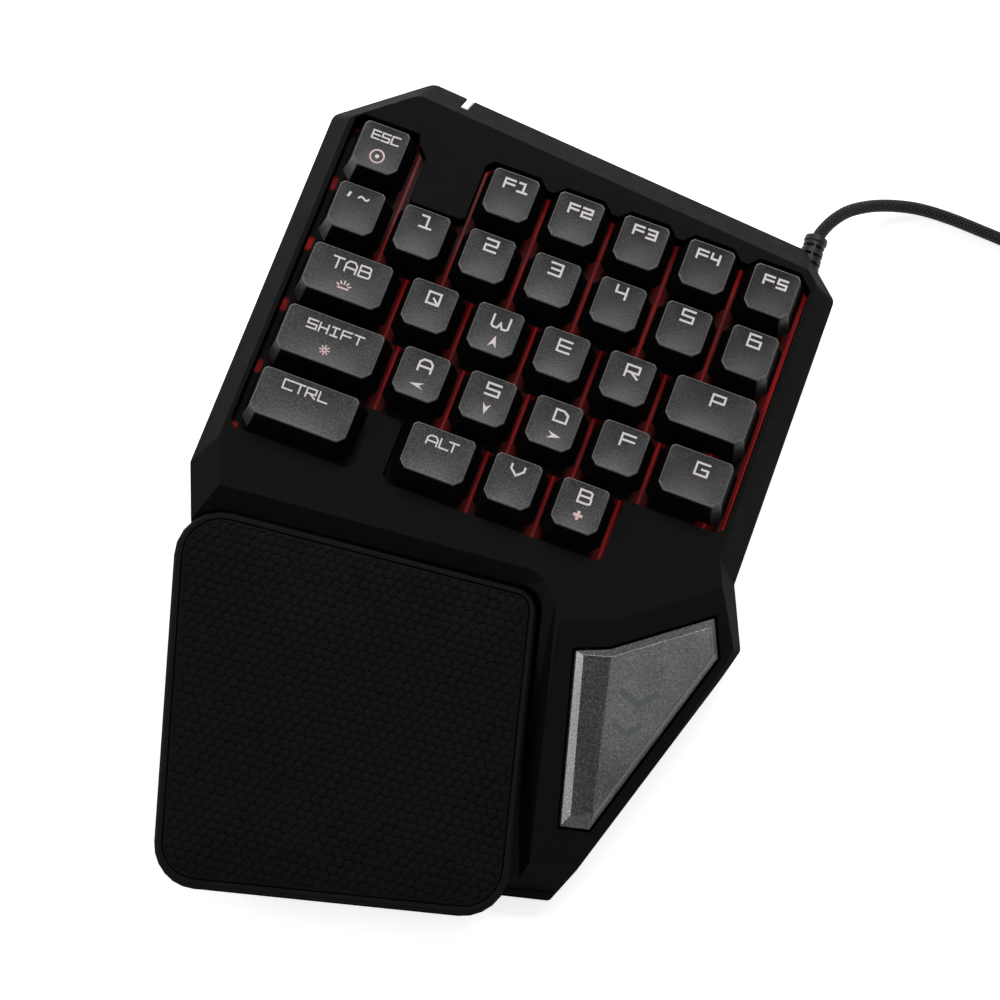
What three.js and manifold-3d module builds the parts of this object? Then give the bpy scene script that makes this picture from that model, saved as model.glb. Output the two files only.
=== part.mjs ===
// A one-hand gaming keypad: 29 sprung keycaps in a well, a hinged thumb key, a padded palm
// rest that slides out on a keeper, and a braided cord wound into a coil with a USB plug.
//
// Everything is built in the key frame: the origin is below the middle of the first key, x runs
// along the rows, y to the rear, z up, in millimetres. The last lines move the origin to the
// middle of the underside.

import * as THREE from 'three';
import { mergeVertices } from 'three/addons/utils/BufferGeometryUtils.js';
import Module from 'manifold-3d';

const wasm = await Module();
wasm.setup();

// Heights above the surface that the keypad stands on
const KEY_TOP_Z = 36;
const DECK_Z = 29;
const SHOULDER_Z = 21;
const PLATE_TOP_Z = 22.7;
const DOME_SHEET_TOP_Z = 14.9;
const PLATFORM_Z = 11;
const PARTING_Z = 8;
const BASE_Z = 1.5;
const HIGH_Z = 60;

// Clearances and walls
const TOUCH_GAP = 0.3;
const FIT_GAP = 0.8;
const WALL = 2.2;
const SKIN = 2;
const POST_RADIUS = 2.6;
// How far a joined block reaches into what it stands on, how far a cutter passes an edge, and the
// side of a block that cuts everything above a slope
const EMBED = 0.2;
const PAST = 1;
const CUTTER_SIZE = 500;

// Keys
const KEY_PITCH = 19.05;
const KEY_GAP = 1.55;
const KEY_TRAVEL = 3.5;
const KEY_FLOAT = 0.4;
const CAP_HEIGHT = KEY_TOP_Z - PLATE_TOP_Z - KEY_TRAVEL - KEY_FLOAT;
const CAP_TOP_WIDTH_LOSS = 4.6;
const CAP_TOP_DEPTH = 13.25;
const CAP_BASE_CUT = 2.6;
const CAP_BASE_REAR_CUT = 2.2;
const CAP_INNER_CUT = 1.8;
const CAP_TOP_FRONT_CUT = 1.9;
const CAP_TOP_REAR_CUT = 0.9;
const CAP_RIM = 0.5;
const CAP_RIM_FLARE = 0.15;
const CAP_WALL = 1.3;
const CAP_ROOF = 1.8;
const PLUNGER_HALF = 2.7;
const PLUNGER_CUT = 1.5;
const PLUNGER_LENGTH = 17.5;
const GUIDE_CLEARANCE = 0.4;

// The rows from the rear to the front: each key's name, and its middle and width in pitches
const KEY_ROW_SHARES = [
  [['esc', 0, 1], ['f1', 2, 1], ['f2', 3, 1], ['f3', 4, 1], ['f4', 5, 1], ['f5', 6, 1]],
  [['grave', 0, 1], ['1', 1, 1], ['2', 2, 1], ['3', 3, 1], ['4', 4, 1], ['5', 5, 1], ['6', 6, 1]],
  [['tab', 0.25, 1.5], ['q', 1.5, 1], ['w', 2.5, 1], ['e', 3.5, 1], ['r', 4.5, 1], ['p', 5.75, 1.5]],
  [['shift', 0.375, 1.75], ['a', 1.75, 1], ['s', 2.75, 1], ['d', 3.75, 1], ['f', 4.75, 1],
    ['g', 5.875, 1.25]],
  [['ctrl', 0.375, 1.75], ['alt', 2.375, 1.25], ['v', 3.5, 1], ['b', 4.5, 1]],
];

// The case is laid out round the keys, so places on it, seen from above, are shares of the pitch
const inPitches = (shares) => shares.map((share) => share * KEY_PITCH);

// The case's outline, counter-clockwise: its corners, their radii, and how far the deck's edge
// lies inside the side that starts at each
const CASE_CORNER_SHARES = [
  [-0.9186, -5.1601], [1.2126, -10.294], [6.021, -9.0814], [6.2415, -8.5354], [7.2598, -5.2283],
  [7.3333, -4.9501], [6.9396, -4.0735], [6.9344, 0.4934], [6.2835, 1.0919], [0.273, 1.5538],
  [-0.9396, 0.5354],
];
const CASE_RADII = [2, 6, 1.5, 1, 2, 2, 1.5, 2.5, 2, 4, 3];
const CASE_BEVELS = [8.2, 3, 3, 3, 3, 4.5, 6.4, 4.6, 8.2, 5.1, 5.7];
const CORNER_STEPS = 3;
const BASE_CHAMFER = 1.5;

// The well that the keys stand in: how far its edge runs outside the keys' cells
const WELL_MARGIN = 1.2;
const WELL_CUT = 2;
const WELL_TOOTH_HALF = 1;
const WELL_TOOTH_REACH = 2.9;
// The deck between the first two keys of the rear row, and between those of the front row
const BLOCK_EDGE_SHARES = [0.6194, 1.4751, -0.4672];
const STRIP_EDGE_SHARES = [1.3071, 1.7323, -3.6273];
const SKIRT = 1.8;

// The thumb panel: two slopes that start at the deck's front crease, and a steep apron
const CREASE_SHARES = [[4.7822, -5.5643], [5.5171, -5.2756], [6.9396, -4.1365]];
const [CREASE_START, CREASE_BEND, CREASE_END] = CREASE_SHARES.map(inPitches);
const LEFT_FALL = 0.2;
const MAIN_FALL = 0.22;
const APRON_TOP_SHARES = [5.9318, -8.6509];
const APRON_TOP_Z = 17;
const APRON_FRONT = [0.264, -0.965];
const APRON_FALL = 1.4;

// The thumb key's outline on the panel, clockwise from its rear left corner
const THUMB_OUTLINE_SHARES = [
  [5.1496, -5.8583], [5.5958, -5.664], [6.8136, -4.7244], [7.0499, -5.2178], [6.1785, -8.063],
  [5.79, -8.1627],
];
const THUMB_OUTLINE = THUMB_OUTLINE_SHARES.map(inPitches);
// Its bevels' widths: front, right, right rear, rear, left rear and left
const THUMB_BEVELS = [4.6, 1.9, 1.9, 1.9, 1.9, 3.3];
const THUMB_RISE = 2.4;
const THUMB_LAND = 0.3;
const THUMB_SKIRT = 4.5;
const THUMB_FACET_FALL = 0.12;
const HINGE_INSET = 3.4;
const HINGE_DEPTH = 5;
const HINGE_PIN_RADIUS = 1.5;
const HINGE_BLOCK_HALF = 2.7;
const KNUCKLE_SPACING = 28;
const KNUCKLE_WIDTH = 4;
const BRACKET_WIDTH = 3.5;
const THUMB_SWITCH_SHARES = [6.3517, -6.1942];
const THUMB_SWITCH = inPitches(THUMB_SWITCH_SHARES);
const THUMB_BOARD_Z = 8.4;
const THUMB_BOARD_SIZE = [14, 14, 1.6];
const THUMB_POST_SPREAD = 4;
const THUMB_DOME_HEIGHT = 3.6;
const THUMB_DOME_FLANGE = 0.8;
const THUMB_PLUNGER_FLOAT = 0.75;

// The palm rest: its corners from above, counter-clockwise, and their radii
const PALM_CORNER_SHARES = [[-0.8504, -5.769], [0.8031, -10.8819], [5.5171, -9.643], [4.378, -5.2021]];
const PALM_RADII = [12.4, 11.5, 12.5, 6.5];
const PALM_LEAST_RADIUS = 1;
const PALM_CORNER_STEPS = 6;
const PALM_REAR_Z = 24.6;
const PALM_FALL = 0.055;
const PALM_AXIS = [0.2487, -0.9686];
const PALM_TRAVEL = 12;
const PALM_RIM = 2;
const PALM_LIP = 4.6;
const PALM_EDGE = 0.8;
const PALM_UNDERCUT = 5;
const PAD_DEPTH = 2.2;
const PAD_EDGE_DEPTH = 0.7;
const PAD_CROWN_HEIGHT = 1.1;
const PAD_RINGS = 6;
const PAD_RING_REACH = 34;
const PAD_RING_SPREAD = 1.6;
const KEEPER_TOP_Z = PLATFORM_Z - SKIN - TOUCH_GAP;
const KEEPER_THICKNESS = 2;
const TONGUE_HALF_WIDTH = 11;
const TONGUE_HALF_LENGTH = 16;
const TONGUE_MIDDLE_SHARES = [2.3097, -7.874];
const KEEPER_MARGIN = 5;

// The ramp behind and beside the palm rest
const RAMP_CORNER_SHARES = [[-0.2992, -5.4121], [4.3675, -4.9816], [4.7822, -5.5643]];
const RAMP_CORNERS = RAMP_CORNER_SHARES.map(inPitches);
const RAMP_REAR_FALL = 0.85;
const RAMP_SIDE_FALL = 0.5;
const RAMP_CORNER_RADIUS = 10;
const RAMP_CORNER_STEPS = 4;
const CHANNEL_WIDTH = 4.9;
const CHANNEL_FALL = 2.2;
// The pocket's clearance at the tray's left, front, right and rear sides
const POCKET_REAR_GAP = 0.4;
const POCKET_GAPS = [1.2, 1.2, 1.2, POCKET_REAR_GAP];
const POCKET_REACH = 60;

// The stack under the keys, from the top down, and how far it reaches past the keys' cells
const PLATE_THICKNESS = 2;
const PLATE_LIP = 1.8;
const STACK_MARGINS = [2.875, 2.375, 2.875, 2.075];
const STACK_EDGE = {
  left: -0.5 * KEY_PITCH - STACK_MARGINS[0],
  right: 6.5 * KEY_PITCH + STACK_MARGINS[1],
  front: -4.5 * KEY_PITCH - STACK_MARGINS[2],
  rear: 0.5 * KEY_PITCH + STACK_MARGINS[3],
};
// Where the stack's front right corner is cut, past the cells, and the cuts of its rear corners
const STACK_FRONT_MARGINS = [3.25, 4.325];
const STACK_REAR_CUTS = { left: [7, 5.9], right: [4, 4] };
const DOME_SHEET_THICKNESS = 0.9;
const DOME_HEIGHT = 3.3;
const DOME_RADIUS = 4.6;
const DOME_TOP_SHARE = 0.66;
const DOME_WALL = 0.6;
const MEMBRANE_THICKNESS = 0.7;
const MEMBRANE_TAIL_SHARES = [3.1496, 3.8845];
const MEMBRANE_TAIL_REACH = 3.4;
const LIGHT_GUIDE_THICKNESS = 1.2;
const BACKING_THICKNESS = 0.9;
const LED_STRIP_DEPTH = 3.2;
const LED_STRIP_THICKNESS = 0.5;
const LED_STRIP_MARGINS = [11, 8];
const LED_SIZE = [2.8, 1.8, 0.8];
const LED_COUNT = 6;
const BOARD_MIDDLE_SHARES = [4.4094, -0.21];
const BOARD_MIDDLE = inPitches(BOARD_MIDDLE_SHARES);
const BOARD_SIZE = [64, 22, 1.6];
const BOARD_Z = 5.8;
const BOARD_POST_SPREAD = 28;
// The parts on the controller board: size, then place from the board's middle
const BOARD_PARTS = [
  [[10, 10, 1.3], [0, 0]],
  [[16, 4, 2], [-18, 8]],
  [[9, 5.5, 2], [26.5, 7.75]],
];

// Screws, feet, status light
const BOSS_PLACE_SHARES = [[0.21, 0.8819], [5.5381, 0.7874], [5.9003, -8.6404], [-0.4514, -4.9344]];
const BOSS_PLACES = BOSS_PLACE_SHARES.map(inPitches);
const SCREW_NAMES = ['rear_left', 'rear_right', 'front_right', 'left'];
const BOSS_RADIUS = 2.7;
const SCREW_RADIUS = 1.3;
const SCREW_HEAD_RADIUS = 2.6;
const SCREW_HEAD = 1.4;
const SCREW_LENGTH = 9;
const SCREW_POST_WALL = 1.6;
const FOOT_PLACE_SHARES = [[-0.105, 0.4199], [6.4042, 0.105], [1.4698, -9.6588], [5.5643, -7.874]];
const FOOT_PLACES = FOOT_PLACE_SHARES.map(inPitches);
const FOOT_NAMES = ['rear_left', 'rear_right', 'front_left', 'front_right'];
const FOOT_RADIUS = 6;
const FOOT_EDGE = 0.5;
const FOOT_RECESS = 0.8;
const BACKING_POST_SHARES = [
  [-0.315, -4.1995], [6.1942, -3.1496], [1.5748, 0.315], [1.0499, -2.0997], [3.1496, -3.7795],
];
const LENS_START_SHARES = [0.8451, 1.2493];
const LENS_SLANT = [0.095, 0.995];
const LENS_LENGTH = 8;
const LENS_WIDTH = 1.9;
const LENS_TAIL = 2;

// The cord, its strain relief, its coil and its plug
const CORD_RADIUS = 1.8;
const RELIEF_START_SHARES = [6.4042, 0.6509];
const [RELIEF_X, RELIEF_INNER_Y] = inPitches(RELIEF_START_SHARES);
const RELIEF_LENGTH = 16.6;
const RELIEF_TIP_Y = RELIEF_INNER_Y + RELIEF_LENGTH;
const RELIEF_Z = 12.6;
const RELIEF_RADIUS = 3.6;
// The anchor block inside the case: reach to the left, depth, half height
const RELIEF_ANCHOR = [6.4, 1.8, 3];
const RELIEF_TIP_RADIUS = 2.85;
const RELIEF_RIBS = 4;
const RIB_PITCH = 2.3;
const RIB_GAP = 0.9;
const RIB_DEPTH = 0.7;
const RIB_STEP = 0.2;
// The coil's middle, from the strain relief's tip
const COIL_OFFSET = [92, -4];
const COIL_MIDDLE = [RELIEF_X + COIL_OFFSET[0], RELIEF_TIP_Y + COIL_OFFSET[1]];
const COIL_TURNS = 10.25;
const COIL_LAYERS = 4;
const COIL_PITCH = 4.35;
const COIL_MEAN_RADIUS = 21;
const COIL_STEPS_PER_TURN = 24;
const COIL_LIFT = 1.2;
const TIE_TURN_SHARE = 0.58;
const TIE_WIDTH = 8;
const TIE_THICKNESS = 0.8;
const TIE_CLEARANCE = 1;
const PLUG_Z = 4.4;
const GRIP_SIZE = [15.4, 25, 8.4];
const GRIP_CUT = 1.8;
// The grip's ends: distance from the cord's end, and how far its sides are drawn in there
const GRIP_PROFILE = [[0, 1.4], [3, 0], [24, 0], [25, 0.8]];
const SHELL_SIZE = [12, 14, 4.5];
const SHELL_WALL = 0.4;
const SHELL_FLOOR = 2;
// The route on the floor, picked by hand, from the strain relief's tip: to the rear, then right.
// Each point is a distance to the right, one to the rear, and a height.
const CORD_ROUTE = [
  [0.1, 1.9, 12.6], [2.7, 6.2, 11.4], [5.9, 11.7, 8.8], [10.2, 16.2, 5.9], [13.9, 19.2, 4],
  [19.7, 22, 3], [25.7, 23.4, 3], [34, 23.9, 3], [46, 23.5, 3], [58, 22.9, 3], [70, 22.6, 3],
  [81, 22.5, 3],
];
// The plug's end of the cord, from the coil's outer top turn: sideways, along, height
const TAIL_ROUTE = [
  [0.2, -6, 16], [1.2, -13, 15.3], [2.6, -21, 11.8], [3.6, -29, 7.2], [4, -36, 4.8], [4, -41, 4.4],
  [4, -45, 4.4],
];

const up = new THREE.Vector3(0, 0, 1);

// Turns a closed three.js geometry into a solid that can be joined and cut
function toSolid(geometry) {
  const bare = geometry.clone();
  bare.deleteAttribute('normal');
  bare.deleteAttribute('uv');
  const merged = mergeVertices(bare, 1e-4);
  return new wasm.Manifold(new wasm.Mesh({
    numProp: 3,
    vertProperties: new Float32Array(merged.attributes.position.array),
    triVerts: new Uint32Array(merged.index.array),
  }));
}

function toGeometry(solid) {
  const mesh = solid.getMesh();
  const geometry = new THREE.BufferGeometry();
  geometry.setAttribute('position', new THREE.BufferAttribute(new Float32Array(mesh.vertProperties), 3));
  geometry.setIndex(new THREE.BufferAttribute(new Uint32Array(mesh.triVerts), 1));
  return geometry;
}

// Joins rings of equal point count into one closed body. Rings run counter-clockwise seen from
// the end, and each end is closed by a cap. A fan closes a ring that doesn't lie level.
function ringStack(rings, fanCaps = false) {
  const count = rings[0].length;
  const points = rings.flat();
  const faces = [];
  for (let i = 0; i + 1 < rings.length; i += 1) {
    for (let j = 0; j < count; j += 1) {
      const a = i * count + j;
      const b = i * count + ((j + 1) % count);
      faces.push(a, b, b + count, a, b + count, a + count);
    }
  }
  const fan = [...Array(count - 2).keys()].map((j) => [0, j + 1, j + 2]);
  const cap = (ring) => {
    if (fanCaps) return fan;
    return THREE.ShapeUtils.triangulateShape(ring.map((p) => new THREE.Vector2(p[0], p[1])), []);
  };
  const last = (rings.length - 1) * count;
  cap(rings[0]).forEach(([a, b, c]) => faces.push(a, c, b));
  cap(rings[rings.length - 1]).forEach(([a, b, c]) => faces.push(last + a, last + b, last + c));
  const geometry = new THREE.BufferGeometry();
  geometry.setAttribute('position', new THREE.Float32BufferAttribute(points.flat(), 3));
  geometry.setIndex(faces);
  return geometry;
}

const atHeight = (outline, z) => outline.map(([x, y]) => [x, y, z]);
const prism = (outline, z0, z1) => toSolid(ringStack([atHeight(outline, z0), atHeight(outline, z1)]));

// Moves each side of a counter-clockwise outline outward by its own distance
function offsetOutline(outline, distances) {
  const count = outline.length;
  const sides = outline.map((p, i) => {
    const q = outline[(i + 1) % count];
    const length = Math.hypot(q[0] - p[0], q[1] - p[1]);
    const along = [(q[0] - p[0]) / length, (q[1] - p[1]) / length];
    const distance = Array.isArray(distances) ? distances[i] : distances;
    return { along, from: [p[0] + along[1] * distance, p[1] - along[0] * distance] };
  });
  return sides.map((side, i) => {
    const before = sides[(i + count - 1) % count];
    const cross = before.along[0] * side.along[1] - before.along[1] * side.along[0];
    if (Math.abs(cross) < 1e-9) return side.from;
    const gap = [side.from[0] - before.from[0], side.from[1] - before.from[1]];
    const t = (gap[0] * side.along[1] - gap[1] * side.along[0]) / cross;
    return [before.from[0] + before.along[0] * t, before.from[1] + before.along[1] * t];
  });
}

// Rounds each corner of an outline with an arc of its own radius
function roundOutline(outline, radii, steps) {
  const count = outline.length;
  return outline.flatMap((corner, i) => {
    const here = new THREE.Vector2(...corner);
    const toPrevious = new THREE.Vector2(...outline[(i + count - 1) % count]).sub(here).normalize();
    const toNext = new THREE.Vector2(...outline[(i + 1) % count]).sub(here).normalize();
    const half = Math.acos(THREE.MathUtils.clamp(toPrevious.dot(toNext), -1, 1)) / 2;
    const start = here.clone().addScaledVector(toPrevious, radii[i] / Math.tan(half));
    const inward = toPrevious.clone().add(toNext).normalize();
    const middle = here.clone().addScaledVector(inward, radii[i] / Math.sin(half));
    const turn = (Math.PI - 2 * half) * Math.sign(toNext.cross(toPrevious));
    return [...Array(steps + 1).keys()].map((k) => {
      const p = start.clone().rotateAround(middle, (turn * k) / steps);
      return [p.x, p.y];
    });
  });
}

const rectangle = (x0, y0, x1, y1) => [[x0, y0], [x1, y0], [x1, y1], [x0, y1]];
const box = (x0, y0, z0, x1, y1, z1) => prism(rectangle(x0, y0, x1, y1), z0, z1);
const block = ([sx, sy, sz], x, y, z) => box(x - sx / 2, y - sy / 2, z, x + sx / 2, y + sy / 2, z + sz);

function circle(x, y, radius, sides = 12) {
  const step = (2 * Math.PI) / sides;
  return [...Array(sides).keys()].map((i) => [
    x + radius * Math.cos((i + 0.5) * step),
    y + radius * Math.sin((i + 0.5) * step),
  ]);
}
const post = (x, y, radius, z0, z1) => prism(circle(x, y, radius), z0, z1);

// A rectangle with its four corners cut: halves sideways, to the front and rear, and two cuts
function cutRectangle(halfX, front, rear, frontCut, rearCut, z) {
  return [
    [-halfX + frontCut, -front, z], [halfX - frontCut, -front, z],
    [halfX, -front + frontCut, z], [halfX, rear - rearCut, z],
    [halfX - rearCut, rear, z], [-halfX + rearCut, rear, z],
    [-halfX, rear - rearCut, z], [-halfX, -front + frontCut, z],
  ];
}

// Everything above a slope that starts at a line and falls forward from it. The drop moves the
// slope down by that thickness, measured square to it.
function aboveSlope([x, y, z], front, fall, drop = 0) {
  const length = Math.hypot(...front);
  const normal = new THREE.Vector3((fall * front[0]) / length, (fall * front[1]) / length, 1).normalize();
  const geometry = new THREE.BoxGeometry(CUTTER_SIZE, CUTTER_SIZE, CUTTER_SIZE);
  geometry.translate(0, 0, CUTTER_SIZE / 2);
  geometry.applyQuaternion(new THREE.Quaternion().setFromUnitVectors(up, normal));
  geometry.translate(x, y, z - drop * Math.hypot(1, fall));
  return toSolid(geometry);
}
const slopeHeight = (x, y, start, front, fall, z) =>
  z - (fall * ((x - start[0]) * front[0] + (y - start[1]) * front[1])) / Math.hypot(...front);
// The level direction that points out of a line, to its right
const outOf = ([from, to]) => [to[1] - from[1], from[0] - to[0]];

// Two slopes and the apron that shape the thumb panel, moved down by a drop
const leftFront = outOf([CREASE_START, CREASE_BEND]);
const mainFront = outOf([CREASE_BEND, CREASE_END]);
const panelCuts = (drop) => [
  aboveSlope([...CREASE_BEND, DECK_Z], leftFront, LEFT_FALL, drop),
  aboveSlope([...CREASE_BEND, DECK_Z], mainFront, MAIN_FALL, drop),
  aboveSlope([...inPitches(APRON_TOP_SHARES), APRON_TOP_Z], APRON_FRONT, APRON_FALL, drop),
];
const panelHeight = (x, y) => slopeHeight(x, y, CREASE_BEND, mainFront, MAIN_FALL, DECK_Z);

// The palm rest's pocket: an upright recess with the tray's rounded outline, run on to the front,
// and the ramp down to it. The growth makes the same shape a skin larger, for the case's inside.
const palmSharp = PALM_CORNER_SHARES.map(inPitches);
function palmPocket(growth) {
  const outline = offsetOutline(palmSharp, POCKET_GAPS.map((gap) => gap + growth));
  const radii = PALM_RADII.map((radius) => radius + POCKET_REAR_GAP + growth);
  const here = prism(roundOutline(outline, radii, PALM_CORNER_STEPS), PLATFORM_Z - growth, HIGH_Z);
  const [ax, ay] = PALM_AXIS;
  const recess = wasm.Manifold.hull([here, here.translate([ax * POCKET_REACH, ay * POCKET_REACH, 0])]);
  const [rearLeft, , frontRight, rearRight] = outline;
  const twiceAs = (to) => [2 * to[0] - rearRight[0], 2 * to[1] - rearRight[1]];
  const farLeft = twiceAs(rearLeft);
  const farFront = twiceAs(frontRight);
  const farCorner = [farLeft[0] + farFront[0] - rearRight[0], farLeft[1] + farFront[1] - rearRight[1]];
  const reach = prism([farLeft, farCorner, farFront, CREASE_BEND, [0, 0]], PLATFORM_Z - growth, HIGH_Z);
  const beside = rampSide(growth).add(channel(growth));
  const ramp = rampRear(growth).reduce((solid, slope) => solid.intersect(slope), reach.intersect(beside));
  return { recess, ramp };
}

// Above the ramp's rear slope and above the slopes that round its corner, each one touching an
// arc between the rear line and the side line
function rampRear(growth) {
  const [left, corner, front] = RAMP_CORNERS;
  const rearAngle = Math.atan2(corner[1] - left[1], corner[0] - left[0]);
  const sideAngle = Math.atan2(front[1] - corner[1], front[0] - corner[0]);
  const tangent = RAMP_CORNER_RADIUS * Math.tan((rearAngle - sideAngle) / 2);
  const inward = (angle, distance) => [Math.sin(angle) * distance, -Math.cos(angle) * distance];
  const [dx, dy] = inward(rearAngle, RAMP_CORNER_RADIUS);
  const middle = [
    corner[0] - Math.cos(rearAngle) * tangent + dx,
    corner[1] - Math.sin(rearAngle) * tangent + dy,
  ];
  return [...Array(RAMP_CORNER_STEPS).keys()].map((k) => {
    const share = k / RAMP_CORNER_STEPS;
    const angle = THREE.MathUtils.lerp(rearAngle, sideAngle, share);
    const [nx, ny] = inward(angle, RAMP_CORNER_RADIUS);
    const fall = THREE.MathUtils.lerp(RAMP_REAR_FALL, RAMP_SIDE_FALL, share);
    return aboveSlope([middle[0] - nx, middle[1] - ny, DECK_Z], [nx, ny], fall, growth);
  });
}

function rampSide(growth) {
  const [, corner, front] = RAMP_CORNERS;
  return aboveSlope([...corner, DECK_Z], outOf([corner, front]), RAMP_SIDE_FALL, growth);
}

// Above the steep wall that falls toward the tray's right side from the panel's left slope
function channel(growth) {
  const [ax, ay] = PALM_AXIS;
  const [x, y] = palmSharp[3];
  const along = (CREASE_START[0] - x) * ax + (CREASE_START[1] - y) * ay;
  const start = [x + along * ax - CHANNEL_WIDTH * ay, y + along * ay + CHANNEL_WIDTH * ax, DECK_Z];
  const steep = [CHANNEL_FALL * ay + LEFT_FALL * ax, -CHANNEL_FALL * ax + LEFT_FALL * ay];
  return aboveSlope(start, steep, Math.hypot(...steep), growth);
}

// The well's outline at the deck, counter-clockwise from its front left corner
function wellOutline() {
  const left = -0.5 * KEY_PITCH - WELL_MARGIN;
  const right = 6.5 * KEY_PITCH + WELL_MARGIN / 2;
  const front = -4.5 * KEY_PITCH - WELL_MARGIN;
  const sideFront = -3.5 * KEY_PITCH - WELL_MARGIN * 1.2;
  const rear = 0.5 * KEY_PITCH + WELL_MARGIN;
  const step = 5 * KEY_PITCH + WELL_MARGIN;
  const c = WELL_CUT;
  const [blockLeft, blockRight, blockFront] = inPitches(BLOCK_EDGE_SHARES);
  const [stripLeft, stripRight, stripRear] = inPitches(STRIP_EDGE_SHARES);
  const teeth = [5.5, 4.5, 3.5, 2.5].flatMap((place) => {
    const x = place * KEY_PITCH;
    const reach = WELL_TOOTH_REACH;
    return [
      [x + WELL_TOOTH_HALF + reach, rear], [x + WELL_TOOTH_HALF, rear - reach],
      [x - WELL_TOOTH_HALF, rear - reach], [x - WELL_TOOTH_HALF - reach, rear],
    ];
  });
  return [
    [left, front + c], [left + c, front], [stripLeft - c, front], [stripLeft, front + c],
    [stripLeft, stripRear - c / 2], [stripLeft + c / 2, stripRear],
    [stripRight - c / 2, stripRear], [stripRight, stripRear - c / 2],
    [stripRight, front + c], [stripRight + c, front],
    [step - c, front], [step, front + c], [step, sideFront], [right - c, sideFront], [right, sideFront + c],
    [right, rear - 2 * c], [right - 2 * c, rear],
    ...teeth,
    [blockRight + c, rear], [blockRight, rear - c], [blockRight, blockFront + c / 2],
    [blockRight - c / 2, blockFront], [blockLeft + c / 2, blockFront], [blockLeft, blockFront + c / 2],
    [blockLeft, rear - 3 * c], [blockLeft - 1.5 * c, rear - 1.5 * c], [blockLeft - 2 * c, rear],
    [left + c, rear], [left, rear - c],
  ];
}

// The thumb key's own frame: origin on the panel over the hinge, y along the hinge, z out of
// the main slope
function thumbFrame() {
  const [rear, , , , , front] = THUMB_OUTLINE;
  const middle = [(rear[0] + front[0]) / 2, (rear[1] + front[1]) / 2];
  const onPanel = ([x, y]) => new THREE.Vector3(x, y, panelHeight(x, y));
  const along = onPanel(rear).sub(onPanel(front)).normalize();
  const length = Math.hypot(...mainFront);
  const out = new THREE.Vector3((MAIN_FALL * mainFront[0]) / length, (MAIN_FALL * mainFront[1]) / length, 1);
  out.normalize();
  const across = new THREE.Vector3().crossVectors(along, out);
  const matrix = new THREE.Matrix4().makeBasis(across, along, out).setPosition(onPanel(middle));
  const inverse = matrix.clone().invert();
  const local = (point) => {
    const p = onPanel(point).applyMatrix4(inverse);
    return [p.x, p.y];
  };
  const hingeHalf = onPanel(rear).distanceTo(onPanel(front)) / 2;
  return { matrix, inverse, local, hingeHalf };
}
const thumb = thumbFrame();
const thumbOutline = THUMB_OUTLINE.map(thumb.local).reverse();
const inThumbFrame = (solid) => {
  const geometry = toGeometry(solid);
  geometry.applyMatrix4(thumb.matrix);
  return toSolid(geometry);
};

// A round bar along the hinge, in the thumb frame
function hingeBar(radius, y0, y1) {
  const bar = new THREE.CylinderGeometry(radius, radius, y1 - y0, 12);
  bar.translate(HINGE_INSET, (y0 + y1) / 2, -HINGE_DEPTH);
  return toSolid(bar);
}
const bracketMiddle = thumb.hingeHalf + 2 * FIT_GAP + BRACKET_WIDTH / 2;
const bracketEnd = bracketMiddle + BRACKET_WIDTH / 2;

// Block round the hinge pin, in the thumb frame: its middle along the hinge, its width, its top
function hingeBlock(y, width, top) {
  const depth = HINGE_DEPTH + HINGE_BLOCK_HALF;
  return block([2 * HINGE_BLOCK_HALF, width, depth + top], HINGE_INSET, y, -depth);
}

// Case shapes shared by the two halves
const caseSharp = CASE_CORNER_SHARES.map(inPitches);
function caseOutline(inset) {
  return roundOutline(offsetOutline(caseSharp, -inset), CASE_RADII, CORNER_STEPS);
}
const deckOutline = (inset) =>
  roundOutline(offsetOutline(caseSharp, CASE_BEVELS.map((b) => -b - inset)), CASE_RADII, CORNER_STEPS);

// The body inside the case's outer faces, or inside its inner faces with an inset
function caseBody(inset, bottom) {
  const drop = inset > 0 ? SKIN : 0;
  let body = toSolid(ringStack([
    atHeight(caseOutline(inset), bottom),
    atHeight(caseOutline(inset), SHOULDER_Z - drop),
    atHeight(deckOutline(inset), DECK_Z - drop),
  ]));
  const { recess, ramp } = palmPocket(drop);
  [...panelCuts(drop), recess, ramp].forEach((cutter) => {
    body = body.subtract(cutter);
  });
  return body;
}

// The status light's slanted bar, as a prism through the rear bevel
function lensBar(growth) {
  const [x, y] = inPitches(LENS_START_SHARES);
  const end = [x + LENS_SLANT[0] * LENS_LENGTH, y + LENS_SLANT[1] * LENS_LENGTH];
  const half = LENS_WIDTH / 2 + growth;
  return prism([
    [x - half, y - growth], [x + half, y - growth], [end[0] + half, end[1]], [end[0] - half, end[1]],
  ], SHOULDER_Z - LENS_TAIL - growth, DECK_Z);
}

// The palm rest slides along its own axis: outlines of the slot and of what runs in it
function palmBar(halfWidth, front, rear) {
  const [ax, ay] = PALM_AXIS;
  const [x, y] = inPitches(TONGUE_MIDDLE_SHARES);
  const at = (u, v) => [x + u * ax - v * ay, y + u * ay + v * ax];
  return [at(-rear, -halfWidth), at(front, -halfWidth), at(front, halfWidth), at(-rear, halfWidth)];
}

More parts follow.
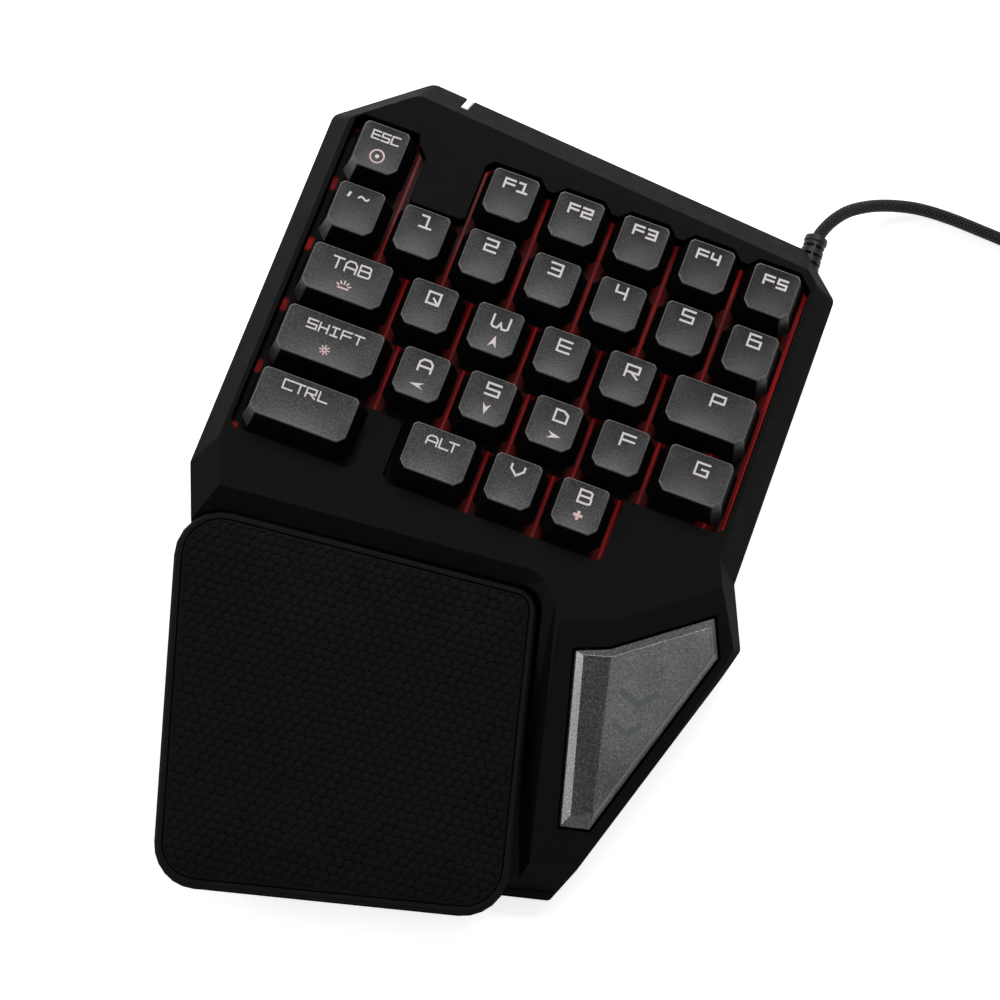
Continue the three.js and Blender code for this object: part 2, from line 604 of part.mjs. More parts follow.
// Upper shell: deck, bevels, ramp, platform, thumb panel and apron in one moulding
function topCase() {
  const outer = caseBody(0, PARTING_Z);
  let shell = outer.subtract(caseBody(WALL, PARTING_Z - PAST));
  const well = wellOutline();
  const skirt = prism(offsetOutline(well, SKIRT), PLATE_TOP_Z + TOUCH_GAP, DECK_Z).intersect(outer);
  shell = shell.add(skirt);
  BOSS_PLACES.forEach(([x, y]) => {
    shell = shell.add(post(x, y, BOSS_RADIUS, PARTING_Z, DECK_Z).intersect(outer));
  });
  [-1, 1].forEach((side) => {
    const bracket = hingeBlock(side * bracketMiddle, BRACKET_WIDTH, -SKIN / 2);
    shell = shell.add(inThumbFrame(bracket).intersect(outer));
  });
  shell = shell.subtract(prism(well, PLATE_TOP_Z - PLATE_THICKNESS, HIGH_Z));
  const opening = prism(offsetOutline(thumbOutline, FIT_GAP), -SKIN - PAST, HIGH_Z);
  shell = shell.subtract(inThumbFrame(opening));
  const pinHole = hingeBar(HINGE_PIN_RADIUS + TOUCH_GAP, -bracketEnd - PAST, bracketEnd + PAST);
  shell = shell.subtract(inThumbFrame(pinHole));
  const slot = palmBar(
    TONGUE_HALF_WIDTH + TOUCH_GAP,
    TONGUE_HALF_LENGTH + PALM_TRAVEL + FIT_GAP,
    TONGUE_HALF_LENGTH + FIT_GAP,
  );
  shell = shell.subtract(prism(slot, 0, PLATFORM_Z + PAST));
  shell = shell.subtract(lensBar(TOUCH_GAP));
  shell = shell.subtract(reliefHole());
  BOSS_PLACES.forEach(([x, y]) => {
    shell = shell.subtract(post(x, y, SCREW_RADIUS + TOUCH_GAP, 0, screwTop() + TOUCH_GAP));
  });
  return toGeometry(shell);
}

// The strain relief's hole, open down to the parting line so that the relief can be laid in
function reliefHole() {
  const radius = RELIEF_RADIUS + TOUCH_GAP;
  const middleY = RELIEF_INNER_Y + RELIEF_LENGTH / 2;
  const hole = new THREE.CylinderGeometry(radius, radius, RELIEF_LENGTH, 12);
  hole.translate(RELIEF_X, middleY, RELIEF_Z);
  return toSolid(hole).add(block([2 * radius, RELIEF_LENGTH, RELIEF_Z], RELIEF_X, middleY, 0));
}

const screwTop = () => BASE_Z + SCREW_HEAD + TOUCH_GAP + SCREW_LENGTH;

// Lower shell: a tray with posts for the backing plate and boards, screw holes and foot recesses
function bottomCase() {
  const rim = PARTING_Z - TOUCH_GAP;
  const floor = BASE_Z + SKIN;
  let shell = toSolid(ringStack([
    atHeight(caseOutline(BASE_CHAMFER), BASE_Z),
    atHeight(caseOutline(0), BASE_Z + BASE_CHAMFER),
    atHeight(caseOutline(0), rim),
    atHeight(caseOutline(WALL), rim),
    atHeight(caseOutline(WALL), floor),
  ]));
  BACKING_POST_SHARES.map(inPitches).forEach(([x, y]) => {
    shell = shell.add(post(x, y, POST_RADIUS, floor - EMBED, backingBottom() - TOUCH_GAP));
  });
  BOSS_PLACES.forEach(([x, y]) => {
    shell = shell.add(post(x, y, SCREW_HEAD_RADIUS + SCREW_POST_WALL, floor - EMBED, rim));
  });
  [-1, 1].forEach((side) => {
    const x = BOARD_MIDDLE[0] + side * BOARD_POST_SPREAD;
    shell = shell.add(post(x, BOARD_MIDDLE[1], POST_RADIUS, floor - EMBED, BOARD_Z - TOUCH_GAP));
    const thumbX = THUMB_SWITCH[0] + side * THUMB_POST_SPREAD;
    shell = shell.add(post(
      thumbX, THUMB_SWITCH[1], POST_RADIUS, floor - EMBED, THUMB_BOARD_Z - TOUCH_GAP,
    ));
  });
  BOSS_PLACES.forEach(([x, y]) => {
    shell = shell.subtract(post(x, y, SCREW_RADIUS + TOUCH_GAP, 0, HIGH_Z));
    shell = shell.subtract(post(x, y, SCREW_HEAD_RADIUS + TOUCH_GAP, 0, BASE_Z + SCREW_HEAD + 2 * TOUCH_GAP));
  });
  FOOT_PLACES.forEach(([x, y]) => {
    shell = shell.subtract(post(x, y, FOOT_RADIUS + TOUCH_GAP, 0, BASE_Z + FOOT_RECESS));
  });
  return toGeometry(shell);
}

// One keycap with its plunger: from the plunger's end, through the hollow inside, to the top
function keycap(width) {
  const half = (width * KEY_PITCH - KEY_GAP) / 2;
  const depth = (KEY_PITCH - KEY_GAP) / 2;
  const topHalf = half - CAP_TOP_WIDTH_LOSS / 2;
  const topDepth = CAP_TOP_DEPTH / 2;
  const ceiling = -CAP_ROOF;
  const inner = (fromTop) => {
    const share = fromTop / CAP_HEIGHT;
    const x = THREE.MathUtils.lerp(topHalf, half, share) - CAP_WALL;
    const y = THREE.MathUtils.lerp(topDepth, depth, share) - CAP_WALL;
    return cutRectangle(x, y, y, CAP_INNER_CUT, CAP_INNER_CUT, -fromTop);
  };
  const plunger = (z) => cutRectangle(PLUNGER_HALF, PLUNGER_HALF, PLUNGER_HALF, PLUNGER_CUT, PLUNGER_CUT, z);
  const top = (growth, z) => cutRectangle(
    topHalf + growth, topDepth + growth, topDepth + growth, CAP_TOP_FRONT_CUT, CAP_TOP_REAR_CUT, z,
  );
  return ringStack([
    plunger(-PLUNGER_LENGTH),
    plunger(ceiling),
    inner(-ceiling),
    inner(CAP_HEIGHT),
    cutRectangle(half, depth, depth, CAP_BASE_CUT, CAP_BASE_REAR_CUT, -CAP_HEIGHT),
    top(CAP_RIM_FLARE, -CAP_RIM),
    top(-CAP_RIM, 0),
  ]);
}

const keyPlaces = KEY_ROW_SHARES.flatMap((keys, row) => keys.map(([name, column, width]) => (
  { name, width, x: column * KEY_PITCH, y: -row * KEY_PITCH })));

// The outline shared by the plate and the sheets under it, with three corners cut
function stackOutline(inset) {
  const { left, right, front, rear } = STACK_EDGE;
  const outline = [
    [left, front], [5 * KEY_PITCH + STACK_FRONT_MARGINS[0], front],
    [right, -3.5 * KEY_PITCH - STACK_FRONT_MARGINS[1]],
    [right, rear - STACK_REAR_CUTS.right[1]], [right - STACK_REAR_CUTS.right[0], rear],
    [left + STACK_REAR_CUTS.left[0], rear], [left, rear - STACK_REAR_CUTS.left[1]],
  ];
  return offsetOutline(outline, -inset);
}

// Lit plate between the keys, with a lip down to the dome sheet and a hole for each plunger
function guidePlate() {
  const underside = PLATE_TOP_Z - PLATE_THICKNESS;
  const lipEnd = DOME_SHEET_TOP_Z + TOUCH_GAP;
  let plate = toSolid(ringStack([
    atHeight(stackOutline(PLATE_LIP), underside),
    atHeight(stackOutline(PLATE_LIP), lipEnd),
    atHeight(stackOutline(0), lipEnd),
    atHeight(stackOutline(0), PLATE_TOP_Z),
  ]));
  const half = PLUNGER_HALF + GUIDE_CLEARANCE;
  const hole = cutRectangle(half, half, half, PLUNGER_CUT, PLUNGER_CUT, 0);
  keyPlaces.forEach(({ x, y }) => {
    plate = plate.subtract(prism(hole.map((p) => [p[0] + x, p[1] + y]), 0, HIGH_Z));
  });
  return toGeometry(plate);
}

const domeSheetBottom = DOME_SHEET_TOP_Z - DOME_SHEET_THICKNESS;
const membraneBottom = domeSheetBottom - TOUCH_GAP - MEMBRANE_THICKNESS;
const lightGuideBottom = membraneBottom - TOUCH_GAP - LIGHT_GUIDE_THICKNESS;
const backingBottom = () => lightGuideBottom - TOUCH_GAP - BACKING_THICKNESS;

// Rubber sheet with a hollow dome under each key
function domeSheet() {
  let sheet = prism(stackOutline(0), domeSheetBottom, DOME_SHEET_TOP_Z);
  const dome = (radius, x, y, z0, z1) => toSolid(ringStack([
    atHeight(circle(x, y, radius, 8), z0),
    atHeight(circle(x, y, radius * DOME_TOP_SHARE, 8), z1),
  ]));
  const top = DOME_SHEET_TOP_Z + DOME_HEIGHT;
  keyPlaces.forEach(({ x, y }) => {
    sheet = sheet.add(dome(DOME_RADIUS, x, y, DOME_SHEET_TOP_Z - EMBED, top));
  });
  keyPlaces.forEach(({ x, y }) => {
    sheet = sheet.subtract(dome(DOME_RADIUS - DOME_WALL, x, y, domeSheetBottom - PAST, top - DOME_WALL));
  });
  return toGeometry(sheet);
}

// Printed contact sheet with its tail, which runs over the edge to the controller board
function contactMembrane() {
  const top = membraneBottom + MEMBRANE_THICKNESS;
  const [left, right] = inPitches(MEMBRANE_TAIL_SHARES);
  const { rear } = STACK_EDGE;
  const tail = box(left, rear - PAST, membraneBottom, right, rear + MEMBRANE_TAIL_REACH, top);
  return toGeometry(prism(stackOutline(0), membraneBottom, top).add(tail));
}

// Clear sheet that carries the light under the keys, cut back for the light strip
function lightGuide() {
  const { left, right, rear } = STACK_EDGE;
  const depth = LED_STRIP_DEPTH + 2 * TOUCH_GAP;
  const sheet = prism(stackOutline(0), lightGuideBottom, lightGuideBottom + LIGHT_GUIDE_THICKNESS);
  const room = box(left - PAST, rear - depth, 0, right + PAST, rear + PAST, HIGH_Z);
  return toGeometry(sheet.subtract(room));
}

// Bar of red lights along the rear edge of the light guide
function ledStrip() {
  const { left, right, rear } = STACK_EDGE;
  const x0 = left + LED_STRIP_MARGINS[0];
  const x1 = right - LED_STRIP_MARGINS[1];
  const y0 = rear - LED_STRIP_DEPTH;
  const z = lightGuideBottom;
  let strip = box(x0, y0, z, x1, rear, z + LED_STRIP_THICKNESS);
  const step = (x1 - x0) / LED_COUNT;
  for (let i = 0; i < LED_COUNT; i += 1) {
    const x = x0 + (i + 0.5) * step;
    strip = strip.add(block(LED_SIZE, x, y0 + LED_SIZE[1] / 2, z + LED_STRIP_THICKNESS - EMBED));
  }
  return toGeometry(strip);
}

const backingPlate = () => ringStack([
  atHeight(stackOutline(0), backingBottom()),
  atHeight(stackOutline(0), backingBottom() + BACKING_THICKNESS),
]);

// Circuit board with its controller chip, membrane clamp and cord socket
function controllerBoard() {
  const [x, y] = BOARD_MIDDLE;
  const top = BOARD_Z + BOARD_SIZE[2];
  const board = BOARD_PARTS.reduce(
    (whole, [size, place]) => whole.add(block(size, x + place[0], y + place[1], top - EMBED)),
    block(BOARD_SIZE, x, y, BOARD_Z),
  );
  return toGeometry(board);
}

// Thumb key: a bevelled plate folded along a ridge, hollow below, with two hinge knuckles and
// the plunger over its switch, all in the thumb frame
function thumbKey() {
  const outline = thumbOutline;
  const bevels = THUMB_BEVELS.map((width) => -width);
  let key = toSolid(ringStack([
    atHeight(outline, -THUMB_SKIRT),
    atHeight(outline, THUMB_LAND),
    atHeight(offsetOutline(outline, bevels), THUMB_RISE),
  ]));
  const [, ridgeFront, , , ridgeRear] = outline;
  const facetFront = outOf([ridgeRear, ridgeFront]);
  key = key.subtract(aboveSlope([...ridgeFront, THUMB_RISE], facetFront, THUMB_FACET_FALL));
  key = key.subtract(prism(offsetOutline(outline, -WALL), -THUMB_SKIRT - PAST, 0));
  [-1, 1].forEach((side) => {
    key = key.add(hingeBlock((side * KNUCKLE_SPACING) / 2, KNUCKLE_WIDTH, EMBED));
  });
  const length = panelHeight(...THUMB_SWITCH) - thumbDomeBase - THUMB_DOME_HEIGHT - THUMB_PLUNGER_FLOAT;
  key = key.add(post(...thumb.local(THUMB_SWITCH), PLUNGER_HALF, -length, EMBED));
  key = key.subtract(hingeBar(HINGE_PIN_RADIUS + TOUCH_GAP, -bracketEnd, bracketEnd));
  return toGeometry(key);
}

const thumbDomeBase = THUMB_BOARD_Z + THUMB_BOARD_SIZE[2] + TOUCH_GAP;

const thumbPin = () => toGeometry(hingeBar(HINGE_PIN_RADIUS, -bracketEnd, bracketEnd));

// Hollow rubber dome with a flange round its foot
function thumbDome() {
  const ring = (radius, share) => atHeight(
    circle(...THUMB_SWITCH, radius), thumbDomeBase + THUMB_DOME_HEIGHT * share,
  );
  return ringStack([
    ring(DOME_RADIUS * DOME_TOP_SHARE, 0.6),
    ring(DOME_RADIUS - DOME_WALL, 0),
    ring(DOME_RADIUS + THUMB_DOME_FLANGE, 0),
    ring(DOME_RADIUS, 0.8),
    ring(DOME_RADIUS * DOME_TOP_SHARE, 1),
  ]);
}

const thumbSwitchBoard = () => toGeometry(block(THUMB_BOARD_SIZE, ...THUMB_SWITCH, THUMB_BOARD_Z));

// Palm rest: level below, its top falls a little toward the user
function palmOutline(inset) {
  const radii = PALM_RADII.map((radius) => Math.max(radius - inset, PALM_LEAST_RADIUS));
  return roundOutline(offsetOutline(palmSharp, -inset), radii, PALM_CORNER_STEPS);
}
const palmTop = ([x, y]) => {
  const [rx, ry] = palmSharp[3];
  return PALM_REAR_Z - PALM_FALL * ((x - rx) * PALM_AXIS[0] + (y - ry) * PALM_AXIS[1]);
};
const palmRing = (inset, below) => palmOutline(inset).map((p) => [...p, palmTop(p) - below]);

function palmTray() {
  const underside = PLATFORM_Z + TOUCH_GAP;
  const tray = toSolid(ringStack([
    atHeight(palmOutline(PALM_UNDERCUT), underside),
    palmRing(PALM_EDGE, PALM_LIP),
    palmRing(0, PALM_LIP - PALM_EDGE),
    palmRing(0, PALM_EDGE),
    palmRing(PALM_EDGE, 0),
    palmRing(PALM_RIM, 0),
    palmRing(PALM_RIM, PAD_DEPTH),
  ]));
  const bar = palmBar(TONGUE_HALF_WIDTH, TONGUE_HALF_LENGTH, TONGUE_HALF_LENGTH);
  return toGeometry(tray.add(prism(bar, KEEPER_TOP_Z + TOUCH_GAP, underside + EMBED)));
}

// Plate under the platform that holds the tray down and slides with it
function palmKeeper() {
  const halfLength = TONGUE_HALF_LENGTH + KEEPER_MARGIN;
  const outline = palmBar(TONGUE_HALF_WIDTH + KEEPER_MARGIN, halfLength, halfLength);
  return toGeometry(prism(outline, KEEPER_TOP_Z - KEEPER_THICKNESS, KEEPER_TOP_Z));
}

// Soft pad with its crown: each ring from the rim inward stands higher than the last
function palmPad() {
  const clearance = PALM_RIM + TOUCH_GAP;
  const rings = [palmRing(clearance, PAD_DEPTH - TOUCH_GAP), palmRing(clearance, PAD_EDGE_DEPTH)];
  for (let i = 1; i <= PAD_RINGS; i += 1) {
    const share = i / PAD_RINGS;
    const below = PAD_EDGE_DEPTH - TOUCH_GAP - PAD_CROWN_HEIGHT * Math.sin((share * Math.PI) / 2);
    rings.push(palmRing(clearance + PAD_RING_REACH * share ** PAD_RING_SPREAD, below));
  }
  return ringStack(rings);
}

const screw = () => ringStack([
  atHeight(circle(0, 0, SCREW_HEAD_RADIUS), 0),
  atHeight(circle(0, 0, SCREW_HEAD_RADIUS), SCREW_HEAD),
  atHeight(circle(0, 0, SCREW_RADIUS), SCREW_HEAD),
  atHeight(circle(0, 0, SCREW_RADIUS), SCREW_HEAD + SCREW_LENGTH),
]);

const foot = () => ringStack([
  atHeight(circle(0, 0, FOOT_RADIUS - FOOT_EDGE), 0),
  atHeight(circle(0, 0, FOOT_RADIUS), FOOT_EDGE),
  atHeight(circle(0, 0, FOOT_RADIUS), BASE_Z + FOOT_RECESS - TOUCH_GAP),
]);

// Light bar that fills its slot through the rear bevel's wall
function statusLens() {
  const band = caseBody(0, PARTING_Z).subtract(caseBody(WALL, PARTING_Z - PAST));
  return toGeometry(lensBar(0).intersect(band));
}

// Stepped rubber sleeve that guides the cord out of the rear right corner, and the block that
// keeps it from being pulled out
function strainRelief() {
  const profile = [[0, 0], [RELIEF_RADIUS, 0]];
  const ribStart = RELIEF_LENGTH - RELIEF_RIBS * RIB_PITCH;
  for (let i = 0; i < RELIEF_RIBS; i += 1) {
    const radius = THREE.MathUtils.lerp(RELIEF_RADIUS, RELIEF_TIP_RADIUS, i / RELIEF_RIBS);
    const y = ribStart + i * RIB_PITCH;
    const groove = radius - RIB_DEPTH;
    profile.push([radius, y], [groove, y], [groove, y + RIB_GAP], [radius - RIB_STEP, y + RIB_GAP]);
  }
  profile.push([RELIEF_TIP_RADIUS, RELIEF_LENGTH], [0, RELIEF_LENGTH]);
  const sleeve = new THREE.LatheGeometry(profile.map(([r, y]) => new THREE.Vector2(r, y)), 12);
  sleeve.translate(0, RELIEF_INNER_Y, 0);
  const [reach, depth, half] = RELIEF_ANCHOR;
  const anchor = box(-reach, RELIEF_INNER_Y, -half, 0, RELIEF_INNER_Y + depth, half);
  return toGeometry(toSolid(sleeve).add(anchor));
}

// A cord's section with eight sides
function cordSection(radius, sides) {
  const shape = new THREE.Shape();
  circle(0, 0, radius, sides).forEach(([x, y], i) => (i === 0 ? shape.moveTo(x, y) : shape.lineTo(x, y)));
  shape.closePath();
  return shape;
}

const coilOuterRadius = COIL_MEAN_RADIUS + (COIL_TURNS / COIL_LAYERS / 2) * COIL_PITCH;
const coilStart = new THREE.Vector3(
  COIL_MIDDLE[0], COIL_MIDDLE[1] + coilOuterRadius, COIL_LIFT + CORD_RADIUS);

function cordRun() {
  const start = new THREE.Vector3(RELIEF_X, RELIEF_TIP_Y + TOUCH_GAP, RELIEF_Z);
  const end = coilStart.clone().setX(coilStart.x - 2 * CORD_RADIUS - TOUCH_GAP);
  const route = CORD_ROUTE.map(([x, y, z]) => new THREE.Vector3(RELIEF_X + x, RELIEF_TIP_Y + y, z));
  const curve = new THREE.CatmullRomCurve3([start, ...route, end]);
  return new THREE.ExtrudeGeometry(cordSection(CORD_RADIUS, 8), { steps: 30, extrudePath: curve });
}

// The coil's centre line: it spirals in and out at a steady rate, a layer higher after each
// half turn in which it reverses. It winds clockwise seen from above.
function coilPoints() {
  const points = [];
  const turnsPerLayer = COIL_TURNS / COIL_LAYERS;
  const count = Math.round(COIL_TURNS * COIL_STEPS_PER_TURN);
  for (let i = 0; i <= count; i += 1) {
    const turn = (i / count) * COIL_TURNS;
    const layer = Math.min(Math.floor(turn / turnsPerLayer), COIL_LAYERS - 1);
    const into = turn - layer * turnsPerLayer;
    const fromOutside = layer % 2 === 0 ? into : turnsPerLayer - into;
    const radius = coilOuterRadius - fromOutside * COIL_PITCH;
    const nearest = Math.round(turn / turnsPerLayer);
    let climb = layer;
    if (nearest > 0 && nearest < COIL_LAYERS) {
      const away = THREE.MathUtils.clamp((turn - nearest * turnsPerLayer) / 0.25, -1, 1);
      climb = nearest - 0.5 + 0.5 * Math.sin((away * Math.PI) / 2);
    }
    const angle = Math.PI / 2 - 2 * Math.PI * turn;
    points.push(new THREE.Vector3(
      COIL_MIDDLE[0] + radius * Math.cos(angle),
      COIL_MIDDLE[1] + radius * Math.sin(angle),
      coilStart.z + climb * COIL_PITCH,
    ));
  }
  return points;
}

// The plug's end of the cord, which comes off the top turn and down to the floor
function tailPoints(coilEnd) {
  const route = TAIL_ROUTE.map(([x, y, z]) => new THREE.Vector3(coilEnd.x + x, coilEnd.y + y, z));
  const curve = new THREE.CatmullRomCurve3([coilEnd, ...route]);
  return curve.getPoints(18).slice(1);
}

// A tube of a few flat sides round a list of points
function tubeRound(points, radius, sides) {
  return ringStack(points.map((p, i) => {
    const before = points[Math.max(i - 1, 0)];
    const after = points[Math.min(i + 1, points.length - 1)];
    const along = after.clone().sub(before).normalize();
    const sideways = new THREE.Vector3().crossVectors(up, along).normalize();
    const upward = new THREE.Vector3().crossVectors(along, sideways);
    return circle(0, 0, radius, sides).map(([u, v]) => {
      const q = p.clone().addScaledVector(sideways, u).addScaledVector(upward, v);
      return [q.x, q.y, q.z];
    });
  }), true);
}

// The least distance between stretches of the cord that lie over half a turn apart
function leastGap(points, radius) {
  let least = Infinity;
  const apart = COIL_STEPS_PER_TURN / 2;
  for (let i = 0; i < points.length; i += 1) {
    for (let j = i + apart; j < points.length; j += 1) {
      least = Math.min(least, points[i].distanceTo(points[j]));
    }
  }
  return least - 2 * radius;
}

// The start runs straight for one cord diameter, square to the tube that it meets
const windings = coilPoints();
const coilLine = [
  coilStart.clone().setX(coilStart.x - 2 * CORD_RADIUS),
  ...windings,
  ...tailPoints(windings[windings.length - 1]),
];
console.log('least gap of the coil to itself, mm:', leastGap(coilLine, CORD_RADIUS).toFixed(2));

// Strap closed round all the turns on one side of the coil
function cordTie() {
  const half = (COIL_TURNS / COIL_LAYERS / 2) * COIL_PITCH + CORD_RADIUS + TIE_CLEARANCE;
  const low = COIL_LIFT - TOUCH_GAP;
  const high = COIL_LIFT + (COIL_LAYERS - 1) * COIL_PITCH + 2 * CORD_RADIUS + TOUCH_GAP;
  const t = TIE_THICKNESS;
  const strap = box(-half - t, -TIE_WIDTH / 2, low - t, half + t, TIE_WIDTH / 2, high + t)
    .subtract(box(-half, -TIE_WIDTH, low, half, TIE_WIDTH, high));
  return toGeometry(strap);
}

const tailEnd = coilLine[coilLine.length - 1];

function gripBody() {
  const [w, , h] = GRIP_SIZE;
  return ringStack(GRIP_PROFILE.map(([along, inset]) => {
    const half = h / 2 - inset;
    return cutRectangle(w / 2 - inset, half, half, GRIP_CUT, GRIP_CUT, 0).map(([x, z]) => [x, -along, z]);
  }), true);
}

function plugShell() {
  const [w, l, h] = SHELL_SIZE;
  const outer = box(-w / 2, -l, -h / 2, w / 2, 0, h / 2);
  const half = w / 2 - SHELL_WALL;
  const hollow = box(-half, -l - PAST, 0, half, -SHELL_FLOOR, h / 2 - SHELL_WALL);
  return toGeometry(outer.subtract(hollow));
}

const finish = {
  cap: { color: 0x2b2b2c, roughness: 0.5, metalness: 0 },
  shell: { color: 0x151515, roughness: 0.65, metalness: 0 },
  silver: { color: 0x8c8e8f, roughness: 0.4, metalness: 0.6 },
  red: { color: 0x9e1c1c, roughness: 0.45, metalness: 0 },
  rubber: { color: 0x101010, roughness: 0.9, metalness: 0 },
  pad: { color: 0x0f0f0e, roughness: 0.8, metalness: 0 },
  sheet: { color: 0xc9c7bf, roughness: 0.6, metalness: 0 },
  clear: { color: 0xd9dde0, roughness: 0.1, metalness: 0 },
  steel: { color: 0x9a9c9e, roughness: 0.35, metalness: 1 },
  board: { color: 0x14462a, roughness: 0.5, metalness: 0 },
  light: { color: 0xeaf2ff, roughness: 0.3, metalness: 0 },
  braid: { color: 0x1c1c1c, roughness: 0.85, metalness: 0 },
};

const keypad = new THREE.Group();

function addPiece(name, geometry, look, parent = keypad) {
  const mesh = new THREE.Mesh(geometry, new THREE.MeshStandardMaterial(look));
  mesh.name = name;
  parent.add(mesh);
  return mesh;
}

keyPlaces.forEach(({ name, width, x, y }) => {
  addPiece(`key_${name}`, keycap(width), finish.cap).position.set(x, y, KEY_TOP_Z);
});
addPiece('top_case', topCase(), finish.shell);
addPiece('bottom_case', bottomCase(), finish.shell);
addPiece('key_guide_plate', guidePlate(), finish.red);
addPiece('dome_sheet', domeSheet(), finish.sheet);
addPiece('contact_membrane', contactMembrane(), finish.sheet);
addPiece('light_guide', lightGuide(), finish.clear);
addPiece('led_strip', ledStrip(), finish.light);
addPiece('backing_plate', backingPlate(), finish.steel);
addPiece('controller_board', controllerBoard(), finish.board);
addPiece('status_light_lens', statusLens(), finish.light);

const thumbGroup = new THREE.Group();
thumbGroup.applyMatrix4(thumb.matrix);
keypad.add(thumbGroup);
addPiece('thumb_key', thumbKey(), finish.silver, thumbGroup);
addPiece('thumb_pivot_pin', thumbPin(), finish.steel, thumbGroup);
addPiece('thumb_dome', thumbDome(), finish.sheet);
addPiece('thumb_switch_board', thumbSwitchBoard(), finish.board);

addPiece('palm_rest_tray', palmTray(), finish.shell);
addPiece('palm_rest_pad', palmPad(), finish.pad);
addPiece('palm_rest_keeper', palmKeeper(), finish.shell);

BOSS_PLACES.forEach(([x, y], i) => {
  addPiece(`case_screw_${SCREW_NAMES[i]}`, screw(), finish.steel).position.set(x, y, BASE_Z + TOUCH_GAP);
});
FOOT_PLACES.forEach(([x, y], i) => {
  addPiece(`foot_${FOOT_NAMES[i]}`, foot(), finish.rubber).position.set(x, y, 0);
});

addPiece('strain_relief', strainRelief(), finish.rubber).position.set(RELIEF_X, 0, RELIEF_Z);
addPiece('cord_run', cordRun(), finish.braid);
addPiece('cord_coil', tubeRound(coilLine, CORD_RADIUS, 6), finish.braid);
const tie = addPiece('cord_tie', cordTie(), finish.rubber);
const tieAngle = 2 * Math.PI * TIE_TURN_SHARE;
const tieReach = new THREE.Vector2(COIL_MEAN_RADIUS, 0).rotateAround(new THREE.Vector2(), tieAngle);
tie.position.set(COIL_MIDDLE[0] + tieReach.x, COIL_MIDDLE[1] + tieReach.y, 0);
tie.rotation.z = tieAngle;
const grip = addPiece('usb_plug_grip', gripBody(), finish.rubber);
grip.position.set(tailEnd.x, tailEnd.y - TOUCH_GAP, PLUG_Z);
addPiece('usb_plug_shell', plugShell(), finish.steel)
  .position.set(tailEnd.x, tailEnd.y - 2 * TOUCH_GAP - GRIP_SIZE[1], PLUG_Z);

// Origin in the middle of the keypad's underside, measured without the cord
const CORD_PIECES = ['strain_relief', 'cord_run', 'cord_coil', 'cord_tie', 'usb_plug_grip', 'usb_plug_shell'];
keypad.updateMatrixWorld(true);
const extent = new THREE.Box3();
keypad.traverse((piece) => {
  if (piece.isMesh && !CORD_PIECES.includes(piece.name)) extent.expandByObject(piece, true);
});
const middle = extent.getCenter(new THREE.Vector3());
keypad.position.set(-middle.x, -middle.y, -extent.min.z);

export default keypad;
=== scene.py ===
import math

import bmesh
import bpy
import numpy as np
from mathutils import Matrix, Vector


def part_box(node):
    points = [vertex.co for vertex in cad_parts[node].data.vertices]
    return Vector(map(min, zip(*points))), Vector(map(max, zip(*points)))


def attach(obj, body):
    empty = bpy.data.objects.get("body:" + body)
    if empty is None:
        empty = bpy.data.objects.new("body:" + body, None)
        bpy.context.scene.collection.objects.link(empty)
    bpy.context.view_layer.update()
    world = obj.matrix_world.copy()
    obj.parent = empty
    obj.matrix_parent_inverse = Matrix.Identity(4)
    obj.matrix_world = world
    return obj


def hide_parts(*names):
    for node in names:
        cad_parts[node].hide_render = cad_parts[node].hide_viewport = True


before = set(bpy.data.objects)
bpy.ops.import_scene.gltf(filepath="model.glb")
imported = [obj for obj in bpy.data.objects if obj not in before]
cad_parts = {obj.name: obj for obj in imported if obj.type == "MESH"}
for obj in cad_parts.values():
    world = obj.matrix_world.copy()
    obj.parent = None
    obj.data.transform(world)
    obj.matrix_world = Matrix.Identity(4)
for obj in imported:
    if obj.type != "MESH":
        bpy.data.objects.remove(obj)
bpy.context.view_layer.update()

# The camera looks steeply down on the keypad from the front, rolled a little. Places in this
# script are in millimetres from the point of the table below the first key's middle, with x
# along the key rows and y to the rear, and on_object moves them to the object's own origin.
FIRST_KEY = np.array([-60.844847, 87.719304, 0.0])


def on_object(places):
    """A place in millimetres plus the first key's place on the object, in metres."""
    return (np.asarray(places, dtype=float) + FIRST_KEY) / 1000


def bearing(azimuth, elevation):
    """Unit vectors for a place seen from the object at that azimuth and elevation: out to the
    place, level across it, and square to both."""
    out = np.array([
        math.sin(azimuth) * math.cos(elevation),
        -math.cos(azimuth) * math.cos(elevation),
        math.sin(elevation),
    ])
    across = np.array([math.cos(azimuth), math.sin(azimuth), 0.0])
    return out, across, np.cross(out, across)


def stand_at(thing, right, up, back, place):
    """Links a camera or lamp to the scene at a place, with its own x, y and z along three vectors."""
    matrix = np.eye(4)
    matrix[:3] = np.column_stack([right, up, back, place])
    thing.matrix_world = Matrix(matrix.tolist())
    bpy.context.scene.collection.objects.link(thing)


azimuth, elevation, roll = np.radians([8.24, 74.75, 12.38])
back, level, upright = bearing(azimuth, elevation)
image_right = level * math.cos(roll) + upright * math.sin(roll)
image_up = upright * math.cos(roll) - level * math.sin(roll)
LOOKED_AT, LENS_DISTANCE = [65.24, -82.18, 36], 0.7046
camera_data = bpy.data.cameras.new("camera")
camera_data.lens = 95.4
camera_data.sensor_width = 36
camera_data.sensor_fit = "HORIZONTAL"
camera_data.clip_start = 0.01
camera = bpy.data.objects.new("camera", camera_data)
stand_at(camera, image_right, image_up, back, on_object(LOOKED_AT) + back * LENS_DISTANCE)
bpy.context.scene.camera = camera
bpy.context.scene.view_settings.view_transform = "Standard"

